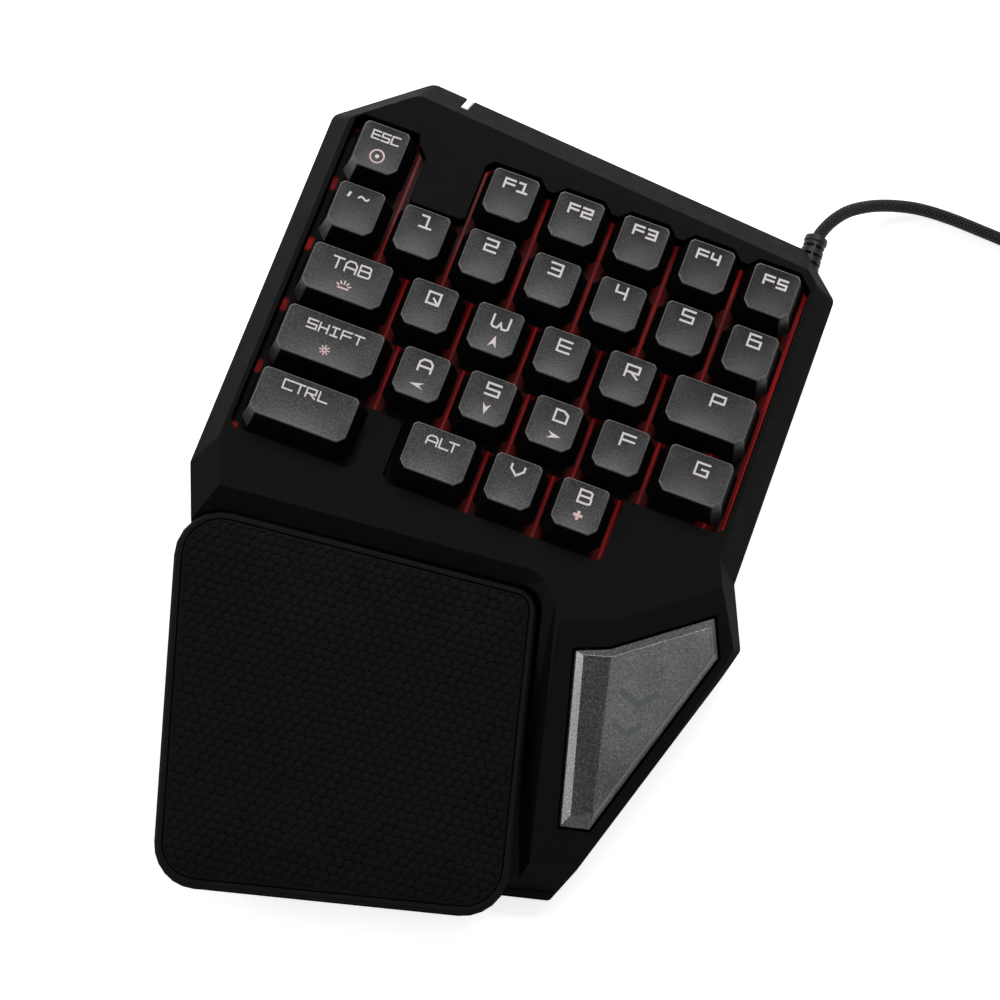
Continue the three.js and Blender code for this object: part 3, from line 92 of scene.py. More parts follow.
# The cord is a thin lead in a braided sleeve of black polyester. It leaves the rear right corner,
# dips to the table and runs right, and the unseen rest is wound into a round coil of four
# layers, held by a strap, with the plug's end lying beside it.
CORD_RADIUS, CORD_STEP, CORD_SIDES, STRANDS = 1.8, 0.75, 20, 9.0
SLEEVE_MOUTH = np.array([122.0, 29.0, 0.0])
FLOOR_ROUTE = [
    [0, -1.6, 12.6], [0.5, 1.6, 12.5], [2.4, 6.6, 11.6], [5.6, 11.7, 9.9], [9.9, 15.9, 7.7],
    [14.0, 18.8, 5.9], [19.7, 21.6, 4.1], [25.7, 23.3, 3.2], [34, 23.9, 3], [46, 23.5, 3],
    [58, 22.9, 3], [70, 22.6, 3], [81, 22.5, 3],
]
COIL_MIDDLE = np.array([214.0, 25.0])
COIL_TURNS, COIL_LAYERS, COIL_STEP, COIL_OUTER_RADIUS = 10.25, 4, 4.35, 26.573
TAIL_ROUTE = [
    [0.2, -6, 16], [1.2, -13, 15.3], [2.6, -21, 11.8], [3.6, -29, 7.2], [4, -36, 4.8],
    [4, -41, 4.4], [4, -45, 4.4],
]


def coil_route():
    """The coil's centreline: a spiral that runs in and out by one step a turn, layer on layer, and
    climbs to the next layer over half a turn."""
    turn = np.arange(247) / 246 * COIL_TURNS
    per_layer = COIL_TURNS / COIL_LAYERS
    layer = np.minimum(np.floor(turn / per_layer), COIL_LAYERS - 1)
    into = turn - layer * per_layer
    from_outside = np.where(layer % 2 == 0, into, per_layer - into)
    radius = COIL_OUTER_RADIUS - COIL_STEP * from_outside
    nearest = np.round(turn / per_layer)
    ease = np.sin(np.clip((turn - nearest * per_layer) / 0.25, -1, 1) * math.pi / 2)
    climb = np.where((nearest > 0) & (nearest < COIL_LAYERS), nearest - 0.5 + 0.5 * ease, layer)
    angle = math.pi / 2 - 2 * math.pi * turn
    return np.column_stack([
        COIL_MIDDLE[0] + radius * np.cos(angle),
        COIL_MIDDLE[1] + radius * np.sin(angle),
        3 + COIL_STEP * climb,
    ])


def smooth_line(points, spacing):
    """Centripetal Catmull-Rom curve through the points: knots stand as far apart as the square roots
    of the points' distances, and in each span the four nearest points are blended into three, these
    into two and these into one. It is then cut into equal lengths."""
    ends = np.vstack([2 * points[0] - points[1], points, 2 * points[-1] - points[-2]])
    p0, p1, p2, p3 = ends[:-3], ends[1:-2], ends[2:-1], ends[3:]
    t0 = np.zeros(len(p0))
    t1 = t0 + np.linalg.norm(p1 - p0, axis=1) ** 0.5
    t2 = t1 + np.linalg.norm(p2 - p1, axis=1) ** 0.5
    t3 = t2 + np.linalg.norm(p3 - p2, axis=1) ** 0.5
    share = np.linspace(0, 1, 13)[:-1]
    t = (t1[:, None] + (t2 - t1)[:, None] * share)[..., None]
    t0, t1, t2, t3 = (v[:, None, None] for v in (t0, t1, t2, t3))
    p0, p1, p2, p3 = (p[:, None] for p in (p0, p1, p2, p3))
    a1 = (t1 - t) / (t1 - t0) * p0 + (t - t0) / (t1 - t0) * p1
    a2 = (t2 - t) / (t2 - t1) * p1 + (t - t1) / (t2 - t1) * p2
    a3 = (t3 - t) / (t3 - t2) * p2 + (t - t2) / (t3 - t2) * p3
    b1 = (t2 - t) / (t2 - t0) * a1 + (t - t0) / (t2 - t0) * a2
    b2 = (t3 - t) / (t3 - t1) * a2 + (t - t1) / (t3 - t1) * a3
    line = ((t2 - t) / (t2 - t1) * b1 + (t - t1) / (t2 - t1) * b2).reshape(-1, 3)
    line = np.vstack([line, points[-1]])
    run = np.concatenate([[0], np.cumsum(np.linalg.norm(np.diff(line, axis=0), axis=1))])
    at = np.linspace(0, run[-1], int(run[-1] / spacing) + 1)
    return np.column_stack([np.interp(at, run, line[:, k]) for k in range(3)])


def tube(line, radius, sides):
    """Rings round a line: each point plus the radius times the cosine of an angle sideways and its
    sine upwards, both square to the line."""
    along = np.gradient(line, axis=0)
    along /= np.linalg.norm(along, axis=1, keepdims=True)
    side = np.cross(along, [0, 0, 1])
    side /= np.linalg.norm(side, axis=1, keepdims=True)
    over = np.cross(side, along)
    angle = np.arange(sides) / sides * 2 * math.pi
    out = side[:, None] * np.cos(angle)[:, None] + over[:, None] * np.sin(angle)[:, None]
    return line[:, None] + out * radius


def dots(a, b):
    """The sum of the products of two arrays' numbers."""
    return np.einsum("ij,ij->", a, b)


def skin(rings, loop=False, uv=None, finish=0):
    """Vertices and faces of the surface through rings of points in millimetres: a quad joins each
    pair of neighbours on ring i to those on ring i + 1, and a flat face closes each end, unless the
    rings are a loop. Its faces are turned outward by the sign of its volume."""
    rings = np.asarray(rings, dtype=float)
    count, around = rings.shape[:2]
    i, j = np.meshgrid(np.arange(count if loop else count - 1), np.arange(around), indexing="ij")
    k, n = (i + 1) % count, (j + 1) % around
    corners = (i * around + j, i * around + n, k * around + n, k * around + j)
    quads = np.stack(corners, -1).reshape(-1, 4)
    corner_uv = np.zeros((len(quads), 4, 2))
    if uv is not None:
        uv_corners = (uv[i, j], uv[i, j + 1], uv[i + 1, j + 1], uv[i + 1, j])
        corner_uv = np.stack(uv_corners, -2).reshape(-1, 4, 2)
    first = list(range(around))
    ends = [] if loop else [first[::-1], [(count - 1) * around + m for m in first]]
    vertices = rings.reshape(-1, 3)
    centred = vertices - vertices.mean(axis=0)
    a, b, c, d = (centred[quads[:, m]] for m in range(4))
    volume = dots(a, np.cross(b, c)) + dots(a, np.cross(c, d))
    for end in ends:
        fan = centred[end]
        volume += dots(np.broadcast_to(fan[0], fan[1:-1].shape), np.cross(fan[1:-1], fan[2:]))
    if volume < 0:
        quads, corner_uv = quads[:, ::-1], corner_uv[:, ::-1]
        ends = [end[::-1] for end in ends]
    return {
        "vertices": vertices,
        "faces": quads.tolist() + ends,
        "uv": np.vstack([corner_uv.reshape(-1, 2), np.zeros((around * len(ends), 2))]),
        "finish": finish,
    }


def make_piece(name, skins, materials, smooth_angle=40):
    """One object from several skins: their vertices in a row, moved onto the object, and each face
    with its skin's material. Edges sharper than the angle stay sharp."""
    vertices, faces, finishes, start = [], [], [], 0
    for part in skins:
        vertices.append(part["vertices"])
        faces += [[v + start for v in face] for face in part["faces"]]
        finishes += [part["finish"]] * len(part["faces"])
        start += len(part["vertices"])
    mesh = bpy.data.meshes.new(name)
    mesh.from_pydata(on_object(np.vstack(vertices)).tolist(), [], faces)
    layer = mesh.uv_layers.new(name="UVMap")
    layer.data.foreach_set("uv", np.vstack([part["uv"] for part in skins]).astype(np.float32).ravel())
    mesh.polygons.foreach_set("material_index", np.array(finishes, dtype=np.int32))
    for material in materials:
        mesh.materials.append(material)
    mesh.shade_smooth()
    mesh.set_sharp_from_angle(angle=math.radians(smooth_angle))
    mesh.update()
    piece = bpy.data.objects.new(name, mesh)
    bpy.context.scene.collection.objects.link(piece)
    return piece


class Finish:
    """A material of one Principled shader, and the few node calls that the finishes here need."""

    def __init__(self, name, **sockets):
        self.material = bpy.data.materials.new(name)
        self.material.use_nodes = True
        self.nodes = self.material.node_tree.nodes
        self.links = self.material.node_tree.links
        self.shader = self.nodes["Principled BSDF"]
        for socket, value in sockets.items():
            self.set(socket, value)

    def feed(self, socket, source):
        """A link from another socket, or else a plain value."""
        if isinstance(source, bpy.types.NodeSocket):
            self.links.new(source, socket)
        else:
            socket.default_value = source

    def set(self, name, source):
        """Feeds one of the shader's sockets, named with underscores or spaces."""
        self.feed(self.shader.inputs[name.replace("_", " ")], source)

    def node(self, kind, *sources):
        """A new shader node of that kind with its first inputs fed."""
        node = self.nodes.new("ShaderNode" + kind)
        for socket, source in zip(node.inputs, sources):
            self.feed(socket, source)
        return node

    def math(self, operation, a, b=0.0, c=0.0):
        node = self.node("Math", a, b, c)
        node.operation = operation
        return node.outputs[0]

    def times(self, a, b):
        return self.math("MULTIPLY", a, b)

    def plus(self, a, b):
        return self.math("ADD", a, b)

    def less(self, a, b):
        return self.math("SUBTRACT", a, b)

    def most(self, a, b):
        return self.math("MAXIMUM", a, b)

    def coordinates(self, kind="Object"):
        return self.node("TexCoord").outputs[kind]

    def parts(self, vector):
        """The x, y and z of a vector."""
        return self.node("SeparateXYZ", vector).outputs

    def steepness(self, low, high, new_low, new_high):
        """One value on steep faces and another on level ones, by the z of the face's direction."""
        upward = self.parts(self.node("NewGeometry").outputs["Normal"])[2]
        return self.range(upward, low, high, new_low, new_high)

    def mark(self, name):
        """The value of a mark that the mesh carries on its vertices."""
        node = self.node("Attribute")
        node.attribute_name = name
        return node.outputs["Fac"]

    def noise(self, scale, detail=2.0, roughness=0.5, stretch=None):
        """Noise of that many waves in a metre."""
        source = self.coordinates()
        if stretch:
            mapping = self.node("Mapping", source)
            mapping.inputs["Scale"].default_value = stretch
            source = mapping.outputs[0]
        node = self.node("TexNoise", source)
        for name, value in (("Scale", scale), ("Detail", detail), ("Roughness", roughness)):
            node.inputs[name].default_value = value
        return node.outputs["Fac"]

    def ramp(self, source, *stops):
        """A colour for each place along the source, where one number stands for a grey."""
        node = self.node("ValToRGB", source)
        elements = node.color_ramp.elements
        while len(elements) < len(stops):
            elements.new(0.5)
        for element, (place, colour) in zip(elements, stops):
            element.position = place
            element.color = (*np.broadcast_to(colour, 3), 1)
        return node.outputs[0]

    def range(self, source, low, high, new_low, new_high):
        return self.node("MapRange", source, low, high, new_low, new_high).outputs[0]

    def blend(self, share, none, full):
        """A colour between two, by a share from 0 to 1."""
        node = self.node("Mix")
        node.data_type = "RGBA"
        for number, source in ((0, share), (6, (*none, 1)), (7, (*full, 1))):
            self.feed(node.inputs[number], source)
        return node.outputs[2]

    def colour(self, scale, detail, *stops, stretch=None):
        """Colour as noise through a ramp."""
        self.set("Base Color", self.ramp(self.noise(scale, detail, stretch=stretch), *stops))

    def roughness(self, scale, detail, low, high, stretch=None):
        """Roughness as noise between two values."""
        self.set("Roughness", self.range(self.noise(scale, detail, stretch=stretch), 0.3, 0.7, low, high))

    def bump(self, height, depth):
        """Relief of that many millimetres where the height goes from 0 to 1."""
        node = self.node("Bump")
        node.inputs["Distance"].default_value = depth / 1000
        self.feed(node.inputs["Height"], height)
        self.set("Normal", node.outputs[0])

    def grain(self, depth, scale, detail=2.0, roughness=0.5, stretch=None):
        """Relief as noise."""
        self.bump(self.noise(scale, detail, roughness, stretch), depth)


def braided_sleeve():
    """Two families of strands cross the cord at 45 degrees. A strand is half a sine wave wide. The
    first family lies on top where the sum of the two strand numbers is odd."""
    finish = Finish("braided_polyester", Roughness=0.6, Specular_IOR_Level=0.2, Sheen_Weight=0.06)
    u, v, _ = finish.parts(finish.coordinates("UV"))
    ways = [finish.times(finish.plus(u, v), STRANDS), finish.times(finish.less(u, v), STRANDS)]
    floors = [finish.math("FLOOR", way) for way in ways]
    over = finish.math("PINGPONG", finish.plus(*floors), 1.0)
    across_p, across_q = (
        finish.math("SINE", finish.times(finish.math("FRACT", way), math.pi)) for way in ways
    )
    wide = finish.plus(finish.times(over, across_p), finish.times(finish.less(1.0, over), across_q))
    strand = finish.times(wide, finish.math("POWER", finish.times(across_p, across_q), 0.5))
    shade = finish.plus(finish.times(strand, 0.75), finish.times(finish.noise(900), 0.25))
    # Painted shade: the colour falls to near black toward each strand's edges and between the strands
    finish.set("Base Color", finish.ramp(
        shade, (0.1, 0.002), (0.45, (0.009, 0.009, 0.0082)), (0.95, (0.062, 0.06, 0.056)),
    ))
    finish.bump(strand, 0.25)
    return finish.material


cord_line = smooth_line(
    np.vstack([
        np.array(FLOOR_ROUTE) + SLEEVE_MOUTH,
        coil_route(),
        np.array(TAIL_ROUTE) + [COIL_MIDDLE[0] + COIL_OUTER_RADIUS, COIL_MIDDLE[1], 0],
    ]),
    CORD_STEP,
)
cord_run = np.arange(len(cord_line)) * CORD_STEP / (2 * math.pi * CORD_RADIUS)
round_it = np.arange(CORD_SIDES + 1) / CORD_SIDES
cord_uv = np.stack(np.meshgrid(cord_run, round_it, indexing="ij")[::-1], -1)
cord = make_piece(
    "braided_cord", [skin(tube(cord_line, CORD_RADIUS, CORD_SIDES), uv=cord_uv)], [braided_sleeve()],
)
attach(cord, "keypad_base")
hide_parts("cord_run", "cord_coil")

# The plug is a common flat USB plug: a grip of black PVC moulded over the cord's end, with
# pinch ribs on its two broad faces and a short collar, and a shell of bent plated steel.
PLUG_PLACE = cord_line[-1]
GRIP_HALF_WIDTH, GRIP_HALF_HEIGHT, RIB_HEIGHT = 7.7, 4.2, 0.35
SHELL_PLACE = PLUG_PLACE - [0, 25.6, 0]


def rounded_rectangle(half_x, half_y, radius, steps=5):
    """Points round a rectangle: on each corner's arc, its centre plus the radius at equal angles."""
    angle = np.radians(np.arange(4)[:, None] * 90 + np.linspace(0, 90, steps))
    centre = np.array([[1, 1], [-1, 1], [-1, -1], [1, -1]]) * [half_x - radius, half_y - radius]
    return (centre[:, None] + radius * np.stack([np.cos(angle), np.sin(angle)], -1)).reshape(-1, 2)


def plug_grip():
    """Rounded rectangles along the plug's axis. The half height swells by a sine for each of five
    pinch ribs, and both halves draw in to the collar at the cord."""
    along = np.concatenate([
        [-0.2, 0, 0.6, 1.2, 2.0, 2.6, 3.4], np.linspace(4.4, 20, 79), [21.5, 23.4, 24.2, 24.75, 25],
    ])
    collar_places = [-0.2, 0, 2.0, 2.6, 3.4, 23.4, 24.2, 24.75, 25]
    collar = np.interp(along, collar_places, [0.44, 0.46, 0.5, 0.9, 1, 1, 0.985, 0.95, 0.9])
    wave = np.abs(np.sin((along - 7) / 10 * 5 * math.pi))
    ribs = np.where((along > 7) & (along < 17), RIB_HEIGHT * wave, 0)
    rings = []
    for place, size, rib in zip(along, collar, ribs):
        half_x = GRIP_HALF_WIDTH * size - rib * 0.4
        half_z = GRIP_HALF_HEIGHT * (size * 0.9 + 0.1) - RIB_HEIGHT + rib
        outline = rounded_rectangle(half_x, half_z, 1.7 * size)
        rings.append(np.column_stack([outline[:, 0], np.full(len(outline), -place), outline[:, 1]]))
    return np.array(rings) + PLUG_PLACE + [0, -0.3, 0]


def plug_shell():
    """A folded steel tube: rounded rectangles from the grip out to the mouth, back in by the
    sheet's thickness, and down to the floor of the mouth."""
    stops = [(0, 0), (13.7, 0), (13.95, 0.1), (14, 0.25), (13.95, 0.4), (13.6, 0.4), (2, 0.4)]
    rings = []
    for along, inset in stops:
        outline = rounded_rectangle(6 - inset, 2.25 - inset, 0.55)
        rings.append(np.column_stack([outline[:, 0], np.full(len(outline), -along), outline[:, 1]]))
    return np.array(rings) + SHELL_PLACE


def plain_bar(low, high, soften, finish=0):
    """A block between two corners with softened edges: rounded rectangles drawn in at both ends."""
    low, high = np.array(low, dtype=float), np.array(high, dtype=float)
    half, middle = (high - low) / 2, (high + low) / 2
    rings = []
    for z, inset in ((-1, soften), (-1, 0), (1, 0), (1, soften)):
        corner = min(soften + 0.05, *(half[:2] - inset) * 0.9)
        outline = rounded_rectangle(half[0] - inset, half[1] - inset, corner, 3)
        height = z * (half[2] - (soften if inset == 0 else 0))
        rings.append(np.column_stack([outline, np.full(len(outline), height)]))
    return skin(np.array(rings) + middle, finish=finish)


moulded_pvc = Finish("moulded_pvc", Roughness=0.5, Specular_IOR_Level=0.4)
moulded_pvc.colour(120, 3, (0.3, 0.011), (0.7, 0.017))
moulded_pvc.roughness(400, 3, 0.44, 0.56)
moulded_pvc.grain(0.03, 3500)
plated_steel = Finish("plated_steel", Base_Color=(0.66, 0.66, 0.65, 1), Metallic=1.0, Roughness=0.25)
plated_steel.roughness(300, 4, 0.18, 0.34, (1, 14, 1))
plated_steel.grain(0.008, 500, stretch=(6, 1, 6))
contact_gold = Finish("contact_gold", Base_Color=(0.8, 0.58, 0.25, 1), Metallic=1.0, Roughness=0.3)
contact_gold.roughness(800, 2, 0.22, 0.38)
white_insulator = Finish("white_insulator", Base_Color=(0.75, 0.75, 0.73, 1), Roughness=0.4)
white_insulator.grain(0.01, 1500)
grip = make_piece("plug_grip", [skin(plug_grip())], [moulded_pvc.material])
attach(grip, "keypad_base")
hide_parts("usb_plug_grip")
shell_skins = [
    skin(plug_shell()),
    plain_bar(SHELL_PLACE + [-5.5, -12.6, -1.85], SHELL_PLACE + [5.5, -1.9, 0], 0.1, 1),
]
shell_skins += [
    plain_bar(SHELL_PLACE + [x - 0.5, -12.4, -0.02], SHELL_PLACE + [x + 0.5, -3, 0.12], 0.03, 2)
    for x in (-3.5, -1.25, 1.25, 3.5)
]
shell = make_piece(
    "plug_shell", shell_skins, [plated_steel.material, white_insulator.material, contact_gold.material],
)
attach(shell, "keypad_base")
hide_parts("usb_plug_shell")

# The tie is a strap of hook-and-loop tape, closed round one side of the coil. Its free end isn't
# drawn.
TIE_ANGLE = 2 * math.pi * 0.58
TIE_RADIUS, TIE_HALF = 21.0, 8.373


def tie_strap(reach, low, high, thickness, width, radius):
    """A band of constant thickness along a rounded rectangle that stands across the coil: outside
    ring, inside ring, both at the two edges of the tape."""
    rings = []
    outer = [(0.12, -1), (0, -0.96), (0, 0.96), (0.12, 1)]
    for inset, edge in outer + [(thickness - inset, -edge) for inset, edge in outer]:
        outline = rounded_rectangle(reach - inset, (high - low) / 2 - inset, radius - inset * 0.7, 8)
        rings.append(np.column_stack([
            outline[:, 0], np.full(len(outline), edge * width / 2), outline[:, 1] + (high + low) / 2,
        ]))
    turned = np.array(rings)
    x, y = turned[..., 0] + TIE_RADIUS, turned[..., 1].copy()
    turned[..., 0] = COIL_MIDDLE[0] + x * math.cos(TIE_ANGLE) - y * math.sin(TIE_ANGLE)
    turned[..., 1] = COIL_MIDDLE[1] + x * math.sin(TIE_ANGLE) + y * math.cos(TIE_ANGLE)
    return turned


hook_tape = Finish("hook_and_loop_tape", Roughness=0.85, Sheen_Weight=0.5)
hook_tape.colour(1600, 3, (0.3, 0.008), (0.7, 0.03))
hook_tape.grain(0.2, 2600, 3)
strap = skin(tie_strap(TIE_HALF + 0.8, 0.1, 18.95, 0.8, 8, 2.6), loop=True)
tie = make_piece("cord_tie_strap", [strap], [hook_tape.material])
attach(tie, "keypad_base")
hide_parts("cord_tie")

# The table is a wide sheet of white paper board under three softboxes: a big one behind the
# keypad, whose sheen lies on the deck and the keys, and two small ones for the thumb key's faces.
floor_mesh = bpy.data.meshes.new("table")
floor_mesh.from_pydata([(-2, -2, 0), (2, -2, 0), (2, 2, 0), (-2, 2, 0)], [], [(0, 1, 2, 3)])
table = bpy.data.objects.new("table", floor_mesh)
bpy.context.scene.collection.objects.link(table)
paper = Finish(
    "white_paper_board", Base_Color=(0.92, 0.92, 0.92, 1), Roughness=0.9, Specular_IOR_Level=0.1,
    Emission_Color=(1, 1, 1, 1),
)
camera_ray, glossy_ray, clear_ray = (
    paper.node("LightPath").outputs[f"Is {kind} Ray"] for kind in ("Camera", "Glossy", "Transmission")
)
seen = paper.most(camera_ray, paper.most(glossy_ray, clear_ray))
paper.set("Emission Strength", paper.times(seen, 0.72))
floor_mesh.materials.append(paper.material)


def softbox(name, azimuth_degrees, elevation_degrees, distance, width, height, power):
    """A rectangular area light at that bearing from the object's middle, turned to face it."""
    out, across, upward = bearing(math.radians(azimuth_degrees), math.radians(elevation_degrees))
    light = bpy.data.lights.new(name, "AREA")
    light.shape = "RECTANGLE"
    light.size, light.size_y, light.energy = width, height, power
    stand_at(bpy.data.objects.new(name, light), across, upward, out, out * distance)


softbox("rear_softbox", 188, 50, 2.3, 2.0, 1.07, 31.0)
softbox("left_softbox", -70, 37, 1.3, 0.5, 0.5, 3.6)
softbox("right_overhead", 85, 69, 1.3, 0.4, 0.4, 0.6)
# The world is white where the camera sees it, and a weak light from all sides otherwise
world = bpy.data.worlds.new("studio")
bpy.context.scene.world = world
world.use_nodes = True
background = world.node_tree.nodes["Background"]
background.inputs["Color"].default_value = (1, 1, 1, 1)
world_path = world.node_tree.nodes.new("ShaderNodeLightPath")
world_level = world.node_tree.nodes.new("ShaderNodeMapRange")
world_level.inputs["To Min"].default_value = 0.22
world_level.inputs["To Max"].default_value = 1.0
world.node_tree.links.new(world_path.outputs["Is Camera Ray"], world_level.inputs["Value"])
world.node_tree.links.new(world_level.outputs[0], background.inputs["Strength"])

# The keycaps are ABS mouldings with a matt dark grey lacquer, cut away at their four corners,
# with a thin rim round a shallow dished top. Each has a hollow plunger below that slides in the
# guide plate, and its legend is a window in the lacquer that the light comes through.
KEY_TOP = 36.0
PITCH, GAP = 19.05, 1.55
SIDE_LEAN, END_LEAN = 2.3, 2.125
DISH = 0.5
KEY_ROWS = [
    [("esc", 0, 1), ("f1", 2, 1), ("f2", 3, 1), ("f3", 4, 1), ("f4", 5, 1), ("f5", 6, 1)],
    [("grave", 0, 1), ("1", 1, 1), ("2", 2, 1), ("3", 3, 1), ("4", 4, 1), ("5", 5, 1), ("6", 6, 1)],
    [("tab", 0.25, 1.5), ("q", 1.5, 1), ("w", 2.5, 1), ("e", 3.5, 1), ("r", 4.5, 1), ("p", 5.75, 1.5)],
    [("shift", 0.375, 1.75), ("a", 1.75, 1), ("s", 2.75, 1), ("d", 3.75, 1), ("f", 4.75, 1),
     ("g", 5.875, 1.25)],
    [("ctrl", 0.375, 1.75), ("alt", 2.375, 1.25), ("v", 3.5, 1), ("b", 4.5, 1)],
]


def top_half(width):
    """Half the width of a keycap's top: half its foot less the lean of its side."""
    return (width * PITCH - GAP) / 2 - SIDE_LEAN


def cut_outline(half_x, half_y, front_cut, rear_cut, rounding):
    """A rectangle with four cut corners, and an arc at each of its eight corners: the corner's two
    sides are left at the tangent length and joined by a turn of equal steps. The four long sides
    get even points of their own."""
    corners = np.array([
        [-half_x + front_cut, -half_y], [half_x - front_cut, -half_y], [half_x, -half_y + front_cut],
        [half_x, half_y - rear_cut], [half_x - rear_cut, half_y], [-half_x + rear_cut, half_y],
        [-half_x, half_y - rear_cut], [-half_x, -half_y + front_cut],
    ])
    before = corners - np.roll(corners, 1, axis=0)
    after = np.roll(before, -1, axis=0)
    before /= np.linalg.norm(before, axis=1, keepdims=True)
    after /= np.linalg.norm(after, axis=1, keepdims=True)
    start = corners - before * rounding * math.tan(math.pi / 8)
    inward = np.column_stack([-before[:, 1], before[:, 0]])
    turn = np.linspace(0, math.pi / 4, 4)
    arc = (
        start[:, None]
        + rounding * np.sin(turn)[None, :, None] * before[:, None]
        + rounding * (1 - np.cos(turn))[None, :, None] * inward[:, None]
    )
    return np.vstack([
        np.vstack([arc[k], np.linspace(arc[k, -1], arc[(k + 1) % 8, 0], extra + 2)[1:-1]])
        for k, extra in enumerate((8, 0, 4, 0, 8, 0, 4, 0))
    ])


def dish(places, half_x):
    """Height of a keycap's top under its rim: a hollow that is deepest in the middle, one less the
    square of each share of the way to the edge, multiplied together."""
    across = np.clip(np.abs(places[:, 0]) / half_x, 0, 1)
    along = np.clip(np.abs(places[:, 1]) / 6.6, 0, 1)
    return -DISH * (1 - across ** 2) * (1 - along ** 2)


def keycap_rings(width):
    """Rings down the plunger's bore, up its outside and inside the cap, over the cap's lower edge, up
    its slanting sides, round the rim and in over the dished top to the middle."""
    top, top_depth = top_half(width), (PITCH - GAP) / 2 - END_LEAN

    def level(share, inset, rounding):
        """The outside at a share of the way down, drawn in by an inset."""
        return cut_outline(
            top + SIDE_LEAN * share - inset, top_depth + END_LEAN * share - inset,
            1.9 + 0.7 * share, 0.9 + 1.3 * share, rounding,
        )

    rings = []

    def add(outline, z):
        rings.append(np.column_stack([outline, np.full(len(outline), z) if np.isscalar(z) else z]))

    plunger = cut_outline(2.7, 2.7, 1.5, 1.5, 0.4)
    bore = cut_outline(1.6, 1.6, 0.8, 0.8, 0.2)
    for outline, z in (
        (bore, -5.0), (bore, -17.3), (bore * 1.06, -17.5), (plunger * 0.93, -17.5), (plunger, -17.2),
        (plunger, -2.0), (plunger * 1.12, -1.8), (level(0.2, 1.6, 0.5), -1.8),
        (level(0.22, 1.35, 0.5), -2.1), (level(0.97, 1.3, 0.5), -9.25), (level(1.0, 1.15, 0.5), -9.4),
        (level(1.0, 0.15, 0.7), -9.4), (level(1.0, 0.0, 0.7), -9.2),
    ):
        add(outline, z)
    for share in (0.75, 0.5, 0.25, 0.12, 0.06):
        add(level(share, 0.0, 0.65 + 0.1 * (1 - share)), -0.55 - 8.85 * share)
    for turn in np.radians([15, 35, 55, 75, 90]):
        add(level(0.0, 0.35 * (1 - math.cos(turn)) - 0.1, 0.8), -0.4 + 0.4 * math.sin(turn))
    for share in (1, 0.97, 0.9, 0.78, 0.62, 0.45, 0.28, 0.12, 0.01):
        outline = level(0.0, 0.35, 0.75) * share
        add(outline, dish(outline, top) - 0.01)
    return np.array(rings)


GLYPHS = {
    "A": [[(0, 0), (0, 0.72), (0.25, 1), (0.75, 1), (1, 0.72), (1, 0)], [(0, 0.38), (1, 0.38)]],
    "B": [[(0, 0), (0, 1), (0.8, 1), (0.95, 0.9), (0.95, 0.62), (0.82, 0.53), (0, 0.53)],
          [(0.82, 0.53), (1, 0.43), (1, 0.1), (0.85, 0), (0, 0)]],
    "C": [[(1, 1), (0, 1), (0, 0), (1, 0)]],
    "D": [[(0, 0), (0, 1), (0.6, 1), (1, 0.72), (1, 0), (0, 0)]],
    "E": [[(1, 1), (0, 1), (0, 0), (1, 0)], [(0, 0.5), (1, 0.5)]],
    "F": [[(0, 0), (0, 1), (1, 1)], [(0, 0.5), (1, 0.5)]],
    "G": [[(1, 1), (0, 1), (0, 0), (1, 0), (1, 0.5), (0.5, 0.5)]],
    "H": [[(0, 0), (0, 1)], [(1, 0), (1, 1)], [(0, 0.5), (1, 0.5)]],
    "I": [[(0.1, 1), (0.9, 1)], [(0.5, 1), (0.5, 0)], [(0.1, 0), (0.9, 0)]],
    "L": [[(0, 1), (0, 0), (1, 0)]],
    "P": [[(0, 0), (0, 1), (1, 1), (1, 0.42), (0, 0.42)]],
    "Q": [[(0, 0), (0, 1), (1, 1), (1, 0), (0, 0)], [(0.5, 0.5), (0.86, 0.14)]],
    "R": [[(0, 0), (0, 1), (1, 1), (1, 0.43), (0, 0.43)], [(0.4, 0.43), (1, 0)]],
    "S": [[(1, 1), (0, 1), (0, 0.5), (1, 0.5), (1, 0), (0, 0)]],
    "T": [[(0, 1), (1, 1)], [(0.5, 1), (0.5, 0)]],
    "V": [[(0, 1), (0, 0.6), (0.5, 0), (1, 0.6), (1, 1)]],
    "W": [[(0, 1), (0, 0.12), (0.12, 0), (0.36, 0), (0.5, 0.42), (0.64, 0), (0.88, 0), (1, 0.12), (1, 1)]],
    "1": [[(0, 1), (0.58, 1), (0.58, 0)], [(0, 0), (1, 0)]],
    "2": [[(0, 1), (1, 1), (1, 0.5), (0, 0.5), (0, 0), (1, 0)]],
    "3": [[(0, 1), (1, 1), (1, 0), (0, 0)], [(0.15, 0.5), (1, 0.5)]],
    "4": [[(0, 1), (0, 0.45), (0.9, 0.45)], [(0.88, 1), (0.88, 0)]],
    "5": [[(1, 1), (0, 1), (0, 0.5), (1, 0.5), (1, 0), (0, 0)]],
    "6": [[(0.85, 1), (0, 1), (0, 0), (1, 0), (1, 0.55), (0, 0.55)]],
}
